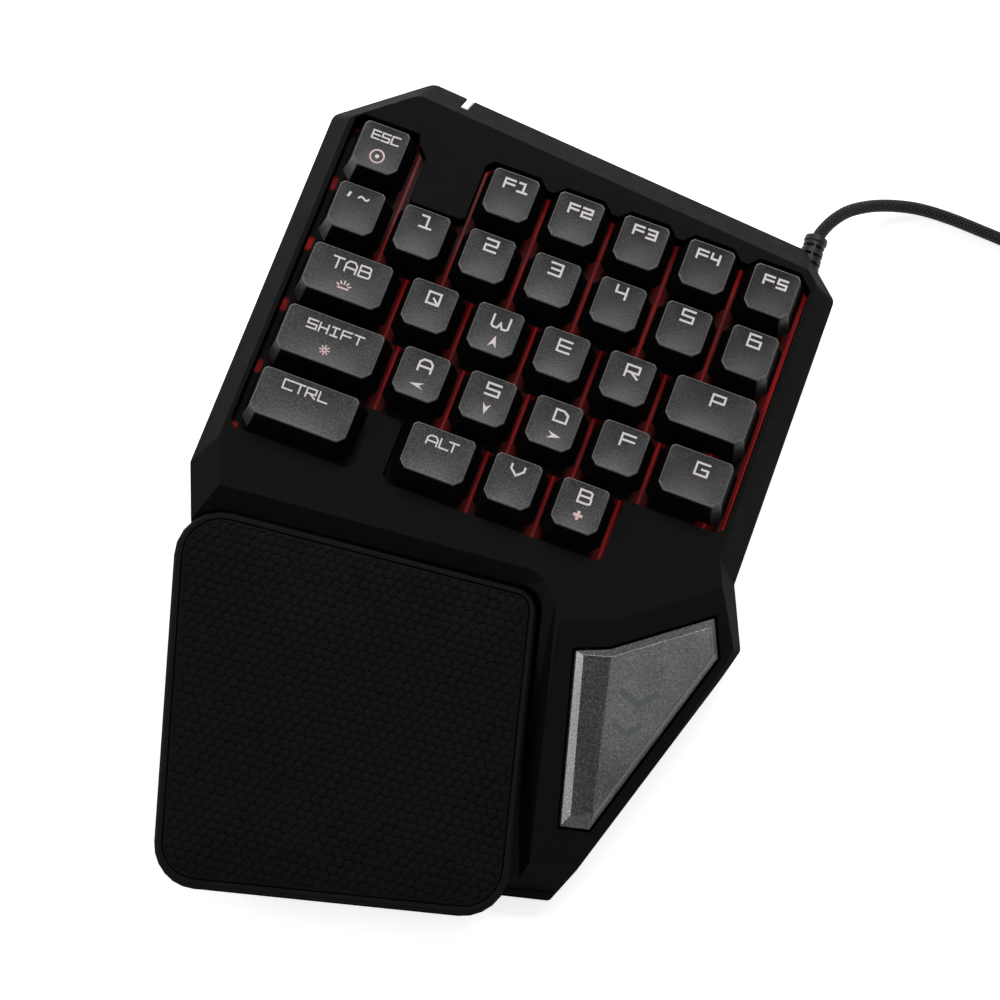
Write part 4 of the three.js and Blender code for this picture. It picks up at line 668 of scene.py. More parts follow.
# Each key's letters: left and right edge of each, then their lower and upper edges and the
# stroke's width, in millimetres from the key's middle
LEGENDS = {
    "esc": ("ESC", [(-3.77, -1.27), (-0.96, 1.6), (1.9, 4.4)], (2.05, 4.75, 0.44)),
    "f1": ("F1", [(-3.1, 0.2), (0.95, 4.15)], (1.7, 4.85, 0.62)),
    "f2": ("F2", [(-3.1, 0.1), (0.77, 4.04)], (1.3, 4.4, 0.62)),
    "f3": ("F3", [(-3.4, -0.2), (0.5, 3.6)], (1.9, 5.0, 0.62)),
    "f4": ("F4", [(-3.85, -0.5), (0.2, 3.3)], (1.6, 4.75, 0.62)),
    "f5": ("F5", [(-3.35, -0.1), (0.6, 3.65)], (1.3, 4.4, 0.62)),
    "1": ("1", [(-1.5, 2.27)], (1.5, 5.3, 0.58)),
    "2": ("2", [(-1.73, 2.08)], (1.6, 5.4, 0.58)),
    "3": ("3", [(-2.0, 1.85)], (1.6, 5.4, 0.58)),
    "4": ("4", [(-2.0, 1.85)], (1.85, 5.7, 0.58)),
    "5": ("5", [(-1.96, 1.92)], (2.0, 5.8, 0.58)),
    "6": ("6", [(-1.73, 2.3)], (1.8, 5.7, 0.58)),
    "tab": ("TAB", [(-5.46, -2.05), (-1.63, 1.9), (2.4, 6.0)], (1.08, 4.6, 0.48)),
    "q": ("Q", [(-1.6, 2.4)], (0.7, 4.5, 0.58)),
    "w": ("W", [(-1.9, 3.4)], (0.77, 4.7, 0.58)),
    "e": ("E", [(-1.96, 2.04)], (0.7, 4.5, 0.58)),
    "r": ("R", [(-1.5, 2.7)], (0.6, 4.5, 0.58)),
    "p": ("P", [(-0.8, 3.3)], (1.0, 4.85, 0.58)),
    "shift": ("SHIFT", [(-7.66, -4.67), (-4.25, -1.5), (-1.1, 1.73), (2.15, 5.04), (5.56, 8.6)],
              (1.6, 4.43, 0.44)),
    "a": ("A", [(-1.8, 2.4)], (1.0, 4.8, 0.58)),
    "s": ("S", [(-1.5, 2.7)], (1.27, 5.0, 0.58)),
    "d": ("D", [(-0.9, 3.2)], (0.9, 4.65, 0.58)),
    "f": ("F", [(-1.0, 3.2)], (0.9, 4.7, 0.58)),
    "g": ("G", [(-0.97, 3.1)], (0.5, 4.4, 0.58)),
    "ctrl": ("CTRL", [(-7.45, -4.3), (-4.2, -1.15), (-0.9, 2.15), (2.7, 5.67)], (2.2, 5.1, 0.44)),
    "alt": ("ALT", [(-4.25, -0.94), (-0.6, 2.3), (1.8, 4.8)], (1.65, 4.54, 0.44)),
    "v": ("V", [(-2.0, 2.2)], (1.7, 4.9, 0.58)),
    "b": ("B", [(-1.5, 2.6)], (1.0, 5.0, 0.58)),
}
# Marks made of strokes: each a stroke's width and its points
STROKE_MARKS = {
    "grave": [
        (0.7, [(-2.96, 4.25), (-3.4, 2.7)]),
        (0.5, [(-0.6, 3.2), (0.05, 3.85), (0.7, 3.75), (1.45, 3.25), (2.0, 3.25), (2.5, 3.9)]),
    ],
    "tab": [
        (0.5, [(-1.5, -3.65), (1.73, -3.65)]), (0.42, [(0.12, -2.5), (0.12, -1.3)]),
        (0.42, [(-0.55, -2.62), (-1.1, -1.72)]), (0.42, [(0.79, -2.62), (1.34, -1.72)]),
        (0.42, [(-1.05, -3.02), (-2.0, -2.55)]), (0.42, [(1.29, -3.02), (2.25, -2.55)]),
    ],
    "shift": [
        (0.36, [(-0.47 + reach * math.cos(a), -2.75 + reach * math.sin(a)) for reach in (0.3, 1.5)])
        for a in np.radians(np.arange(8) * 45)
    ],
    "b": [(0.85, [(-1.0, -2.4), (1.6, -2.4)]), (0.85, [(0.3, -3.7), (0.3, -1.1)])],
}
# Solid marks: darts that point up, left, down and right
SOLID_MARKS = {
    "w": [(0.7, -1.15), (-0.65, -4.8), (0.6, -3.6), (1.85, -4.8)],
    "a": [(-2.2, -2.96), (1.7, -1.9), (0.5, -2.96), (1.9, -3.85)],
    "s": [(0.4, -4.2), (-0.85, -0.9), (0.4, -2.0), (1.5, -0.9)],
    "d": [(3.0, -3.0), (-0.9, -2.0), (0.5, -3.0), (-0.8, -4.2)],
}
LEGEND_RISE, LEGEND_FOOT = 0.03, -0.15


def legend_uv(points):
    """UV of a legend's ring corners: its place across and up the key."""
    return np.concatenate([points[..., :2], points[:, :1, :2]], axis=1)


def stroke(points, width, half_x, lift, loop=False):
    """A flat bar of constant width along a broken line: each point moves to both sides along the
    mitre of its two spans. It lies on the dished top, with its foot inside it."""
    line = np.array(points, dtype=float)
    if not loop:
        steps = [np.linspace(a, b, 4)[:-1] for a, b in zip(line[:-1], line[1:])]
        line = np.vstack(steps + [line[-1:]])
    span = np.roll(line, -1, axis=0) - line
    if not loop:
        span[-1] = span[-2]
    span /= np.linalg.norm(span, axis=1, keepdims=True)
    normal = np.column_stack([-span[:, 1], span[:, 0]])
    previous = np.roll(normal, 1, axis=0)
    if not loop:
        previous[0] = normal[0]
    mitre = (normal + previous) / (1 + np.sum(normal * previous, axis=1, keepdims=True))
    left, right = line + mitre * width / 2, line - mitre * width / 2
    top = lambda side: np.column_stack([side, dish(side, half_x) + LEGEND_RISE + lift])
    low = lambda side: np.column_stack([side, dish(side, half_x) + LEGEND_FOOT])
    rings = np.stack([top(left), top(right), low(right), low(left)], axis=1)
    uv = legend_uv(rings)
    return rings, (np.concatenate([uv, uv[:1]]) if loop else uv)


def solid_mark(points, half_x):
    """A flat plate with a given outline, on the dished top."""
    outline = np.array(points, dtype=float)
    rings = np.stack([
        np.column_stack([outline, dish(outline, half_x) + height]) for height in (LEGEND_FOOT, LEGEND_RISE)
    ])
    return rings, legend_uv(rings)


def legend_skins(name, half_x, place):
    """All strokes and marks of one key, each as a skin of its own."""
    parts = []
    if name in LEGENDS:
        letters, edges, (low, high, width) = LEGENDS[name]
        for letter, (left, right) in zip(letters, edges):
            for number, line in enumerate(GLYPHS[letter]):
                size = np.array([right - left - width, high - low - width])
                start = np.array([left, low]) + width / 2
                ends = np.array(line, dtype=float) * size + start
                closed = line[0] == line[-1]
                if not closed:
                    for end, inner in ((0, 1), (-1, -2)):
                        out = ends[end] - ends[inner]
                        ends[end] += out / np.linalg.norm(out) * width / 2
                line_points = ends[:-1] if closed else ends
                parts.append(stroke(line_points, width, half_x, number * 0.004, closed) + (closed,))
    for number, (width, line) in enumerate(STROKE_MARKS.get(name, [])):
        parts.append(stroke(line, width, half_x, number * 0.003) + (False,))
    if name in SOLID_MARKS:
        parts.append(solid_mark(SOLID_MARKS[name], half_x) + (False,))
    if name == "esc":
        angle = np.arange(32) / 32 * 2 * math.pi
        ring = np.column_stack([np.cos(angle), np.sin(angle)])
        parts.append(stroke(ring * 1.92 + [-0.1, -2.5], 0.45, half_x, 0, True) + (True,))
        parts.append(solid_mark(ring[::2] * 0.6 + [-0.1, -2.5], half_x) + (False,))
    return [skin(rings + place, loop=loop, uv=uv, finish=1) for rings, uv, loop in parts]


def lacquered_cap_painted_light():
    """Dark grey lacquer with a fine grain, with painted light and shade from a mark on the vertices,
    which lightens the colour and raises the gloss. The mark is 0 on the cap's sides, a painted
    shade, up to 1 on the rim, which is palest in the photograph, a painted highlight, and 0.2 to
    0.45 on the top, a painted shading."""
    finish = Finish("lacquered_cap_painted_light", Roughness=0.4)
    grain, rim = finish.noise(2300, 2, 0.6), finish.mark("rim")
    # The rim mark is painted light: it makes the rim and the tops paler and leaves the sides dark
    shade = finish.plus(finish.times(finish.less(grain, 0.5), 0.9), finish.times(rim, 0.8))
    finish.set("Base Color", finish.ramp(shade, (0.1, 0.003), (0.32, 0.021), (0.85, 0.16)))
    finish.set("Roughness", finish.plus(finish.times(finish.noise(60, 3), 0.16), 0.3))
    finish.set("Specular IOR Level", finish.range(rim, 0.0, 0.3, 0.1, 0.5))
    finish.bump(grain, 0.05)
    return finish.material


def legend_window():
    """The clear window of a legend: near white on the key's upper half and pink on its lower half, as
    in the photograph. UV is the place on the key."""
    finish = Finish("legend_window", Roughness=0.35, Emission_Strength=0.05)
    up = finish.range(finish.parts(finish.coordinates("UV"))[1], -4.5, 5.5, 0.0, 1.0)
    drift = finish.plus(up, finish.times(finish.noise(150), 0.2))
    tint = finish.ramp(drift, (0.0, (0.66, 0.36, 0.37)), (0.35, (0.7, 0.5, 0.51)), (0.7, (0.74, 0.69, 0.7)))
    finish.set("Base Color", tint)
    finish.set("Emission Color", tint)
    return finish.material


cap_finish, legend_finish = lacquered_cap_painted_light(), legend_window()
# Caps at the well's edges whose front corner facet is paler in the photograph, a painted highlight:
# its side, and the mark's value
PAINTED_FACET_HIGHLIGHTS = {
    "esc": ("left", 0.9), "grave": ("left", 0.8), "tab": ("left", 0.45), "shift": ("left", 0.45),
    "ctrl": ("left", 0.6), "f5": ("right", 0.4), "6": ("right", 0.4), "p": ("right", 0.45),
    "g": ("right", 0.45),
}
FACET_POINTS = {"left": [53, 54, 55, 0, 1, 2], "right": [13, 14, 15, 16, 17, 18]}
for row, keys in enumerate(KEY_ROWS):
    for name, column, width in keys:
        place = np.array([column * PITCH, -row * PITCH, KEY_TOP])
        rings = keycap_rings(width)
        skins = [skin(rings + place)] + legend_skins(name, top_half(width), place)
        key = make_piece("cap_" + name, skins, [cap_finish, legend_finish], 50)
        marks = np.zeros(len(key.data.vertices), dtype=np.float32)
        ring_painted_light = np.zeros(len(rings))
        # Painted shade: the key tops get darker toward the rear and toward the right, as in the photograph
        ring_painted_light[17:] = 0.25 + 0.05 * row - 0.02 * max(column - 3, 0)
        # A painted highlight along the rim, palest at its crest; the sides keep 0, a painted shade
        ring_painted_light[17:23] = [0.1, 0.45, 0.8, 1.0, 0.75, 0.4]
        point_painted_light = np.repeat(ring_painted_light[:, None], rings.shape[1], 1)
        # A painted highlight on these caps' front corner facets
        if name in PAINTED_FACET_HIGHLIGHTS:
            side, mark = PAINTED_FACET_HIGHLIGHTS[name]
            point_painted_light[12:18, FACET_POINTS[side]] = mark
        marks[:point_painted_light.size] = point_painted_light.ravel()
        key.data.attributes.new("rim", "FLOAT", "POINT").data.foreach_set("value", marks)
        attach(key, "key_" + name)
        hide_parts("key_" + name)

# The guide plate between the keys is sheet steel with black paint, on which the red light from
# below spills. That spill is painted on the plate, as emission and a paler colour: in bands under
# the gaps between the columns, along the well's right edge, which is brightest, faintly along its
# front edge, and in spots between the rows at its left edge.
lit_plate = Finish("lit_guide_plate", Roughness=0.5, Specular_IOR_Level=0.15)
times, most = lit_plate.times, lit_plate.most
plate_x, plate_y, _ = lit_plate.parts(lit_plate.coordinates())
key_x = lit_plate.math("MULTIPLY_ADD", plate_x, 1000 / PITCH, -FIRST_KEY[0] / PITCH)
key_y = lit_plate.math("MULTIPLY_ADD", plate_y, -1000 / PITCH, FIRST_KEY[1] / PITCH)


def band(source, middle, half):
    """One in the middle of a band and falling to nought at half its width."""
    gap = lit_plate.math("ABSOLUTE", lit_plate.less(source, middle))
    return lit_plate.range(gap, half * 0.55, half, 1.0, 0.0)


row_shift = lit_plate.node("ValToRGB", lit_plate.math("DIVIDE", key_y, 5.0))
row_shift.color_ramp.interpolation = "CONSTANT"
stops = row_shift.color_ramp.elements
for place, shift in ((0.0, 0.5), (1.5 / 5, 0.0), (2.5 / 5, 0.25), (3.5 / 5, 0.0)):
    stop = stops[0] if place == 0 else stops.new(place)
    stop.color = (shift, shift, shift, 1)
stops.remove(stops[-1])
column_gap = lit_plate.math("PINGPONG", lit_plate.less(key_x, row_shift.outputs[0]), 0.5)
row_gap = lit_plate.math("PINGPONG", lit_plate.less(key_y, 0.5), 0.5)
# The bands run between keys only: right of a row's first key, and in the front row right of alt
front_row = lit_plate.math("GREATER_THAN", key_y, 3.52)
inside = lit_plate.math("GREATER_THAN", key_x, lit_plate.math("MULTIPLY_ADD", front_row, 2.5, 0.4))
column_bands = most(times(band(column_gap, 0.0, 0.026), 0.68), times(band(column_gap, 0.0, 0.15), 0.12))
right_edge = most(band(key_x, 6.55, 0.045), times(band(key_x, 6.55, 0.12), 0.22))
front_edge = times(band(key_y, 4.53, 0.06), 0.4)
left_spots = times(band(key_x, -0.54, 0.07), band(row_gap, 0.0, 0.12))
glow = most(times(column_bands, inside), most(times(right_edge, 1.3), front_edge))
glow = most(glow, times(left_spots, 0.8))
glow = times(glow, lit_plate.range(lit_plate.noise(55), 0.3, 0.7, 0.5, 1.3))
lit_plate.set("Base Color", lit_plate.blend(glow, (0.004, 0.003, 0.003), (0.02, 0.005, 0.005)))
# Near the first row's block the painted light is paler, as in the photograph
pale = times(band(key_y, 0.2, 0.9), band(key_x, 1.0, 0.75))
lit_plate.set("Emission Color", lit_plate.blend(pale, (0.55, 0.012, 0.014), (0.42, 0.12, 0.12)))
lit_plate.set("Emission Strength", times(glow, 0.36))
lit_plate.grain(0.02, 1200)


def refinish(node, material):
    """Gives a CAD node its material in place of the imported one."""
    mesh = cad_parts[node].data
    mesh.materials.clear()
    mesh.materials.append(material)


refinish("key_guide_plate", lit_plate.material)

# The case is two ABS mouldings, joined by screws from below. The top one is matte black with a
# fine spark-eroded grain, with softened folds between its deck, bevels, ramp and thumb panel.
def softened_copy(node, name, material, width, angle=20):
    """A copy of a CAD node's mesh, its doubles merged and flat faces joined, with a bevel that many
    millimetres wide on every fold sharper than the angle."""
    merge_distance, flat_angle = 0.02 / 1000, math.radians(0.6)
    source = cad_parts[node]
    mesh = source.data.copy()
    mesh.name = name
    mesh.transform(source.matrix_world)
    skin_mesh = bmesh.new()
    skin_mesh.from_mesh(mesh)
    bmesh.ops.remove_doubles(skin_mesh, verts=skin_mesh.verts, dist=merge_distance)
    bmesh.ops.dissolve_limit(
        skin_mesh, angle_limit=flat_angle, verts=skin_mesh.verts, edges=skin_mesh.edges, delimit={"NORMAL"},
    )
    skin_mesh.to_mesh(mesh)
    skin_mesh.free()
    mesh.materials.clear()
    mesh.materials.append(material)
    mesh.shade_smooth()
    mesh.set_sharp_from_angle(angle=math.radians(angle))
    piece = bpy.data.objects.new(name, mesh)
    bpy.context.scene.collection.objects.link(piece)
    bevel = piece.modifiers.new("softened_folds", "BEVEL")
    bevel.width = width / 1000
    bevel.segments = 3
    bevel.limit_method = "ANGLE"
    bevel.angle_limit = math.radians(angle)
    bevel.harden_normals = True
    bevel.miter_outer = "MITER_ARC"
    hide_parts(node)
    return piece


def grained_black(name, dark, pale, roughness, gloss=0.05):
    """Black ABS: a slow drift between two shades, a fine grain in its relief, and a roughness that
    wanders a little. Its gloss fades toward steep faces, which are duller than level ones in the
    photograph."""
    finish = Finish(name)
    finish.set("Specular IOR Level", finish.steepness(0.3, 0.9, 0.0, gloss))
    finish.colour(35, 3, (0.3, dark), (0.7, (pale, pale, pale * 0.97)))
    finish.roughness(250, 3, roughness - 0.04, roughness + 0.05)
    finish.grain(0.025, 2200, 3, 0.6)
    return finish.material


case_black = grained_black("matte_black_case", 0.005, 0.0058, 0.5)
top_case = softened_copy("top_case", "upper_case", case_black, 0.45)
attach(top_case, "keypad_base")
base_black = grained_black("matte_black_base", 0.0048, 0.0056, 0.58)
bottom_case = softened_copy("bottom_case", "lower_case", base_black, 0.3)
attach(bottom_case, "keypad_base")

# The status light is a short bar of clear acrylic in the rear bevel, lit white from inside.
lens_finish = Finish(
    "lit_acrylic", Base_Color=(0.85, 0.88, 0.9, 1), Roughness=0.2, IOR=1.49,
    Emission_Color=(0.78, 0.82, 0.92, 1), Emission_Strength=0.42,
)
lens_finish.grain(0.01, 900)
lens = softened_copy("status_light_lens", "status_light", lens_finish.material, 0.15)
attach(lens, "keypad_base")

# The strain relief is a tapered sleeve of soft PVC on the cord, with slots cut from both sides
# that leave a spine above and below, so that it bends evenly. A block inside the case holds it.
RELIEF_PLACE = np.array([122.0, 12.4, 12.6])
RELIEF_LENGTH, RELIEF_RADIUS, RELIEF_TIP_RADIUS = 16.6, 3.6, 2.85
SLOTS_START, SLOT_PITCH, SLOT_DEPTH = RELIEF_LENGTH - 9.4, 2.6, 0.8


def strain_relief():
    """Radius along the sleeve and round it: the taper, less a slot's depth where a window round
    each side meets a window along the sleeve, and a bead at the tip. The bore runs back down
    inside."""
    sides = 64
    stops = [0.0, 0.3]
    for number in range(3):
        start = SLOTS_START + number * SLOT_PITCH
        stops += [start, start + 0.08, start + 1.02, start + 1.1]
    stops += [RELIEF_LENGTH - 2.2, RELIEF_LENGTH - 1.7, RELIEF_LENGTH - 0.3, RELIEF_LENGTH]
    y = np.array(sorted(stops))
    angle = np.arange(sides) / sides * 2 * math.pi
    taper = np.interp(
        y, [0, RELIEF_LENGTH - 9.2, RELIEF_LENGTH], [RELIEF_RADIUS, RELIEF_RADIUS, RELIEF_TIP_RADIUS],
    )
    taper = taper + np.interp(y, [RELIEF_LENGTH - 2.2, RELIEF_LENGTH - 1.7], [0, 0.35])
    taper = np.where(y == RELIEF_LENGTH, RELIEF_TIP_RADIUS - 0.1, taper)
    phase = np.mod(y - SLOTS_START, SLOT_PITCH)
    in_slot = (y > SLOTS_START + 0.04) & (y < RELIEF_LENGTH - 2.3) & (phase > 0.04) & (phase < 1.06)
    window = np.clip((np.abs(np.cos(angle)) - 0.13) / 0.05, 0, 1)
    radius = taper[:, None] - SLOT_DEPTH * in_slot[:, None] * window[None]
    bore_y = RELIEF_LENGTH - np.array([0, 0.3, 3.5])
    radius = np.vstack([radius, np.repeat([[1.95], [1.85], [1.85]], sides, 1)])
    y = np.repeat(np.concatenate([y, bore_y])[:, None], sides, 1)
    return np.stack([radius * np.cos(angle), y, radius * np.sin(angle)], -1) + RELIEF_PLACE


relief = make_piece("cord_strain_relief", [
    skin(strain_relief()),
    plain_bar(RELIEF_PLACE + [-6.4, 0, -3], RELIEF_PLACE + [0.5, 1.8, 3], 0.3),
], [moulded_pvc.material], 30)
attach(relief, "keypad_base")
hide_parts("strain_relief")

# The palm rest is a black ABS tray with a narrow raised rim, and a soft pad of moulded
# polyurethane bonded inside it, covered in offset rows of low scales and crowned to its middle.
PALM_CORNERS = np.array([[-16.2, -109.9], [15.3, -207.3], [105.1, -183.7], [83.4, -99.1]])
PALM_RADII = np.array([12.4, 11.5, 12.5, 6.5])
PALM_AXIS = np.array([0.2487, -0.9686])
PAD_INSET = 2.1
SCALE_PITCH, SCALE_ROWS_ANGLE, SCALE_HEIGHT = 2.7, 4.5, 0.24


def moved_in(corners, inset):
    """Corners of an outline whose sides all move in by the same distance."""
    side = np.roll(corners, -1, axis=0) - corners
    side /= np.linalg.norm(side, axis=1, keepdims=True)
    inward = np.column_stack([-side[:, 1], side[:, 0]])
    start = corners + inward * inset
    previous, previous_start = np.roll(side, 1, axis=0), np.roll(start, 1, axis=0)
    cross = previous[:, 0] * side[:, 1] - previous[:, 1] * side[:, 0]
    gap = start - previous_start
    t = (gap[:, 0] * side[:, 1] - gap[:, 1] * side[:, 0]) / cross
    return previous_start + previous * t[:, None]


def rounded(corners, radii, steps):
    """Each corner replaced by an arc that touches both its sides."""
    before = np.roll(corners, 1, axis=0) - corners
    after = np.roll(corners, -1, axis=0) - corners
    before /= np.linalg.norm(before, axis=1, keepdims=True)
    after /= np.linalg.norm(after, axis=1, keepdims=True)
    half = np.arccos(np.sum(before * after, axis=1)) / 2
    bisector = (before + after) / np.linalg.norm(before + after, axis=1, keepdims=True)
    middle = corners + bisector * (radii / np.sin(half))[:, None]
    start = corners + before * (radii / np.tan(half))[:, None] - middle
    turn = (math.pi - 2 * half)[:, None] * np.linspace(0, 1, steps)
    x = middle[:, :1] + start[:, :1] * np.cos(turn) - start[:, 1:] * np.sin(turn)
    y = middle[:, 1:] + start[:, :1] * np.sin(turn) + start[:, 1:] * np.cos(turn)
    return np.stack([x, y], -1).reshape(-1, 2)


def edge_distance(points, outline):
    """Distance from each point to the nearest side of the outline."""
    best = np.full(len(points), 1e9)
    for a, b in zip(outline, np.roll(outline, -1, axis=0)):
        along = b - a
        share = np.clip((points - a) @ along / (along @ along), 0, 1)
        best = np.minimum(best, np.hypot(*(points - a - share[:, None] * along).T))
    return best


def scales(points):
    """Height from 0 to 1 of rows of round scales, and how deep each point lies in a groove. Their
    centres lie on a lattice of equal triangles, each moved a little by sines of its numbers. A scale
    rises as its centre gets nearer than the next one, ends at its reach, and is domed."""
    groove_width, reach, dome_radius = 0.6, 1.5, 1.6
    angle = math.radians(SCALE_ROWS_ANGLE)
    along = points @ [math.cos(angle), math.sin(angle)]
    across = points @ [-math.sin(angle), math.cos(angle)]
    row_step = SCALE_PITCH * math.sqrt(3) / 2
    best, second = np.full(len(points), 1e9), np.full(len(points), 1e9)
    for row in (np.round(across / row_step) + step for step in (-1, 0, 1)):
        shift = 0.5 * np.mod(row, 2)
        for column in (np.round(along / SCALE_PITCH - shift) + step for step in (-1, 0, 1)):
            x = along - (column + shift) * SCALE_PITCH - 0.26 * np.sin(12.9 * column + 78.2 * row)
            y = across - row * row_step - 0.18 * np.sin(39.3 * column + 11.7 * row)
            distance = np.hypot(x, y)
            second = np.where(distance < best, best, np.minimum(second, distance))
            best = np.minimum(best, distance)
    rise = np.clip(np.minimum((second - best) / groove_width, (reach - best) / 0.4), 0, 1)
    dome = 1 - np.clip(best / dome_radius, 0, 1) ** 2
    return 0.65 * rise * (2 - rise) + 0.35 * dome, 1 - rise


def palm_top(points):
    """Height of the tray's rim: it falls forward from its rear right corner."""
    return 24.6 - 0.055 * ((points - PALM_CORNERS[3]) @ PALM_AXIS)


def between(s, t, corners):
    """The place at a share s across and t up between four corners: front left, front right, rear
    right and rear left."""
    a, b, c, d = corners
    s, t = s[..., None], t[..., None]
    return (1 - s) * (1 - t) * a + s * (1 - t) * b + s * t * c + (1 - s) * t * d


def pad_grid(columns, rows):
    """Places on the pad: a row runs between two points of its left and right edges, which are the
    same share of the way from the front edge to the rear one."""
    sharp = moved_in(PALM_CORNERS, PAD_INSET)
    outline = rounded(sharp, np.maximum(PALM_RADII - PAD_INSET, 1), 40)
    a, b, c, d = sharp[1], sharp[2], sharp[3], sharp[0]
    s = t = np.full(len(outline), 0.5)
    for _ in range(30):
        ds = (1 - t)[:, None] * (b - a) + t[:, None] * (c - d)
        dt = (1 - s)[:, None] * (d - a) + s[:, None] * (c - b)
        gap = outline - between(s, t, (a, b, c, d))
        cross = ds[:, 0] * dt[:, 1] - ds[:, 1] * dt[:, 0]
        s = s + (gap[:, 0] * dt[:, 1] - gap[:, 1] * dt[:, 0]) / cross
        t = t + (ds[:, 0] * gap[:, 1] - ds[:, 1] * gap[:, 0]) / cross
    lefts, rights = s < 0.5, s >= 0.5
    rank_left, rank_right = np.argsort(t[lefts]), np.argsort(t[rights])
    ease = (1 - np.cos(np.linspace(0, math.pi, rows))) / 2
    level = np.clip(0.06 * ease + 0.94 * np.linspace(0, 1, rows), 0, 1)
    low = np.interp(level, t[lefts][rank_left], s[lefts][rank_left])
    high = np.interp(level, t[rights][rank_right], s[rights][rank_right])
    s = low[:, None] + (high - low)[:, None] * np.linspace(0, 1, columns)
    t = np.repeat(level[:, None], columns, 1)
    return between(s, t, (a, b, c, d)), outline


def palm_pad(columns, rows):
    """The pad's top as a height over the grid: the rim's height, less the edge's step, plus the
    crown, which follows a quarter sine from the edge inward, and the scales, which fade out at a
    smooth border. Its edge rounds down to a flat underside."""
    grid, outline = pad_grid(columns, rows)
    flat = grid.reshape(-1, 2)
    distance = edge_distance(flat, outline)
    crown = 0.9 * np.sin(np.clip(distance / 34, 0, 1) ** 0.625 * math.pi / 2)
    border = np.clip((distance - 0.5) / 0.4, 0, 1)
    edge = 0.35 * (1 - np.clip(distance / 0.45, 0, 1)) ** 2
    height, groove = scales(flat)
    z = palm_top(flat) - 0.45 + crown - edge + SCALE_HEIGHT * (height * border + 0.9 * (1 - border))
    top = np.column_stack([flat, z])
    index = np.arange(rows * columns).reshape(rows, columns)
    loop = np.concatenate([index[0, :-1], index[:-1, -1], index[-1, :0:-1], index[:0:-1, 0]])
    corners = [index[:-1, :-1], index[:-1, 1:], index[1:, 1:], index[1:, :-1]]
    quads = np.stack(corners, -1).reshape(-1, 4)
    wall = top[loop] - [0, 0, 1.1]
    start = len(top)
    low = start + np.arange(len(loop))
    turned = np.roll(loop, -1), np.roll(low, -1)
    sides = np.stack([loop, low, turned[1], turned[0]], -1)
    vertices = np.vstack([top, wall])
    faces = quads.tolist() + sides.tolist() + [low[::-1].tolist()]
    uv = np.zeros((sum(len(face) for face in faces), 2))
    # The marks are painted shade in the grooves between the scales, none on the wall
    marks = np.concatenate([groove * border, np.zeros(len(wall))])
    return {"vertices": vertices, "faces": faces, "uv": uv, "finish": 0}, marks


tray_black = grained_black("matte_black_tray", 0.005, 0.006, 0.5, 0.08)
tray = softened_copy("palm_rest_tray", "palm_tray", tray_black, 0.2)
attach(tray, "palm_rest")
pad_finish = Finish("moulded_polyurethane")
# Painted shade in the grooves between the scales: the groove mark darkens the colour there and lowers the
# gloss
groove_shade = pad_finish.mark("groove")
drift = pad_finish.times(pad_finish.noise(45, 3), pad_finish.range(groove_shade, 0.2, 0.9, 1.0, 0.35))
pad_finish.set("Base Color", pad_finish.ramp(
    drift, (0.0, (0.002, 0.002, 0.0018)), (0.35, (0.0033, 0.0033, 0.003)), (0.7, (0.0042, 0.0042, 0.0038)),
))
pad_finish.set("Specular IOR Level", pad_finish.range(groove_shade, 0.2, 0.9, 0.075, 0.03))
pad_finish.roughness(500, 3, 0.55, 0.7)
pad_finish.grain(0.02, 3000)
pad_skin, groove_shade_marks = palm_pad(400, 430)
pad = make_piece("palm_pad", [pad_skin], [pad_finish.material], 60)
groove_shade_layer = pad.data.attributes.new("groove", "FLOAT", "POINT")
groove_shade_layer.data.foreach_set("value", groove_shade_marks.astype(np.float32))
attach(pad, "palm_rest")
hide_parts("palm_rest_pad")

# The thumb key is a moulding with silver paint over a fine grain. It is folded along a ridge
# with a bevel all round, and carries two plain chevrons in grey ink. It swings on a pin.
THUMB_ACROSS = np.array([0.95556, 0.28294, -0.08281])
THUMB_ALONG = np.array([-0.26244, 0.94436, 0.19826])
THUMB_OUT = np.array([0.13430, -0.16772, 0.97664])
THUMB_PLACE = np.array([45.933, -44.030, 18.283]) - 3.4 * THUMB_ACROSS + 5 * THUMB_OUT - FIRST_KEY


def silver_grain():
    """Aluminium paint: flakes as a fine noise in colour, roughness and relief. It shines less like
    metal on the steep bevels than on the faces, as in the photograph."""
    finish = Finish("silver_paint")
    flake = finish.noise(1700, 3, 0.65)
    shade = finish.plus(finish.times(flake, 0.7), finish.times(finish.noise(50, 3), 0.3))
    finish.set("Base Color", finish.ramp(
        shade, (0.32, (0.05, 0.052, 0.052)), (0.5, (0.125, 0.127, 0.127)), (0.68, 0.26),
    ))
    finish.set("Roughness", finish.range(flake, 0.3, 0.7, 0.18, 0.3))
    finish.bump(flake, 0.025)
    finish.set("Metallic", finish.steepness(0.8, 0.95, 0.1, 0.9))
    return finish.material


def chevron(middle, reach, depth, width):
    """A flat bar bent once at its point, with its two arms back to the sides, on the thumb key's
    main face."""
    line = np.array([[-reach, depth], [0, 0], [reach, depth]], dtype=float)
    span = np.diff(line, axis=0)
    span /= np.linalg.norm(span, axis=1, keepdims=True)
    normal = np.column_stack([-span[:, 1], span[:, 0]])
    mitre = (normal[0] + normal[1]) / (1 + normal[0] @ normal[1])
    offset = np.array([normal[0], mitre, normal[1]])
    outline = np.vstack([line + offset * width / 2, (line - offset * width / 2)[::-1]]) + middle
    corners = THUMB_PLACE + outline[:, :1] * THUMB_ACROSS + outline[:, 1:] * THUMB_ALONG
    return skin(np.stack([corners + THUMB_OUT * height for height in (2.3, 2.43)]))


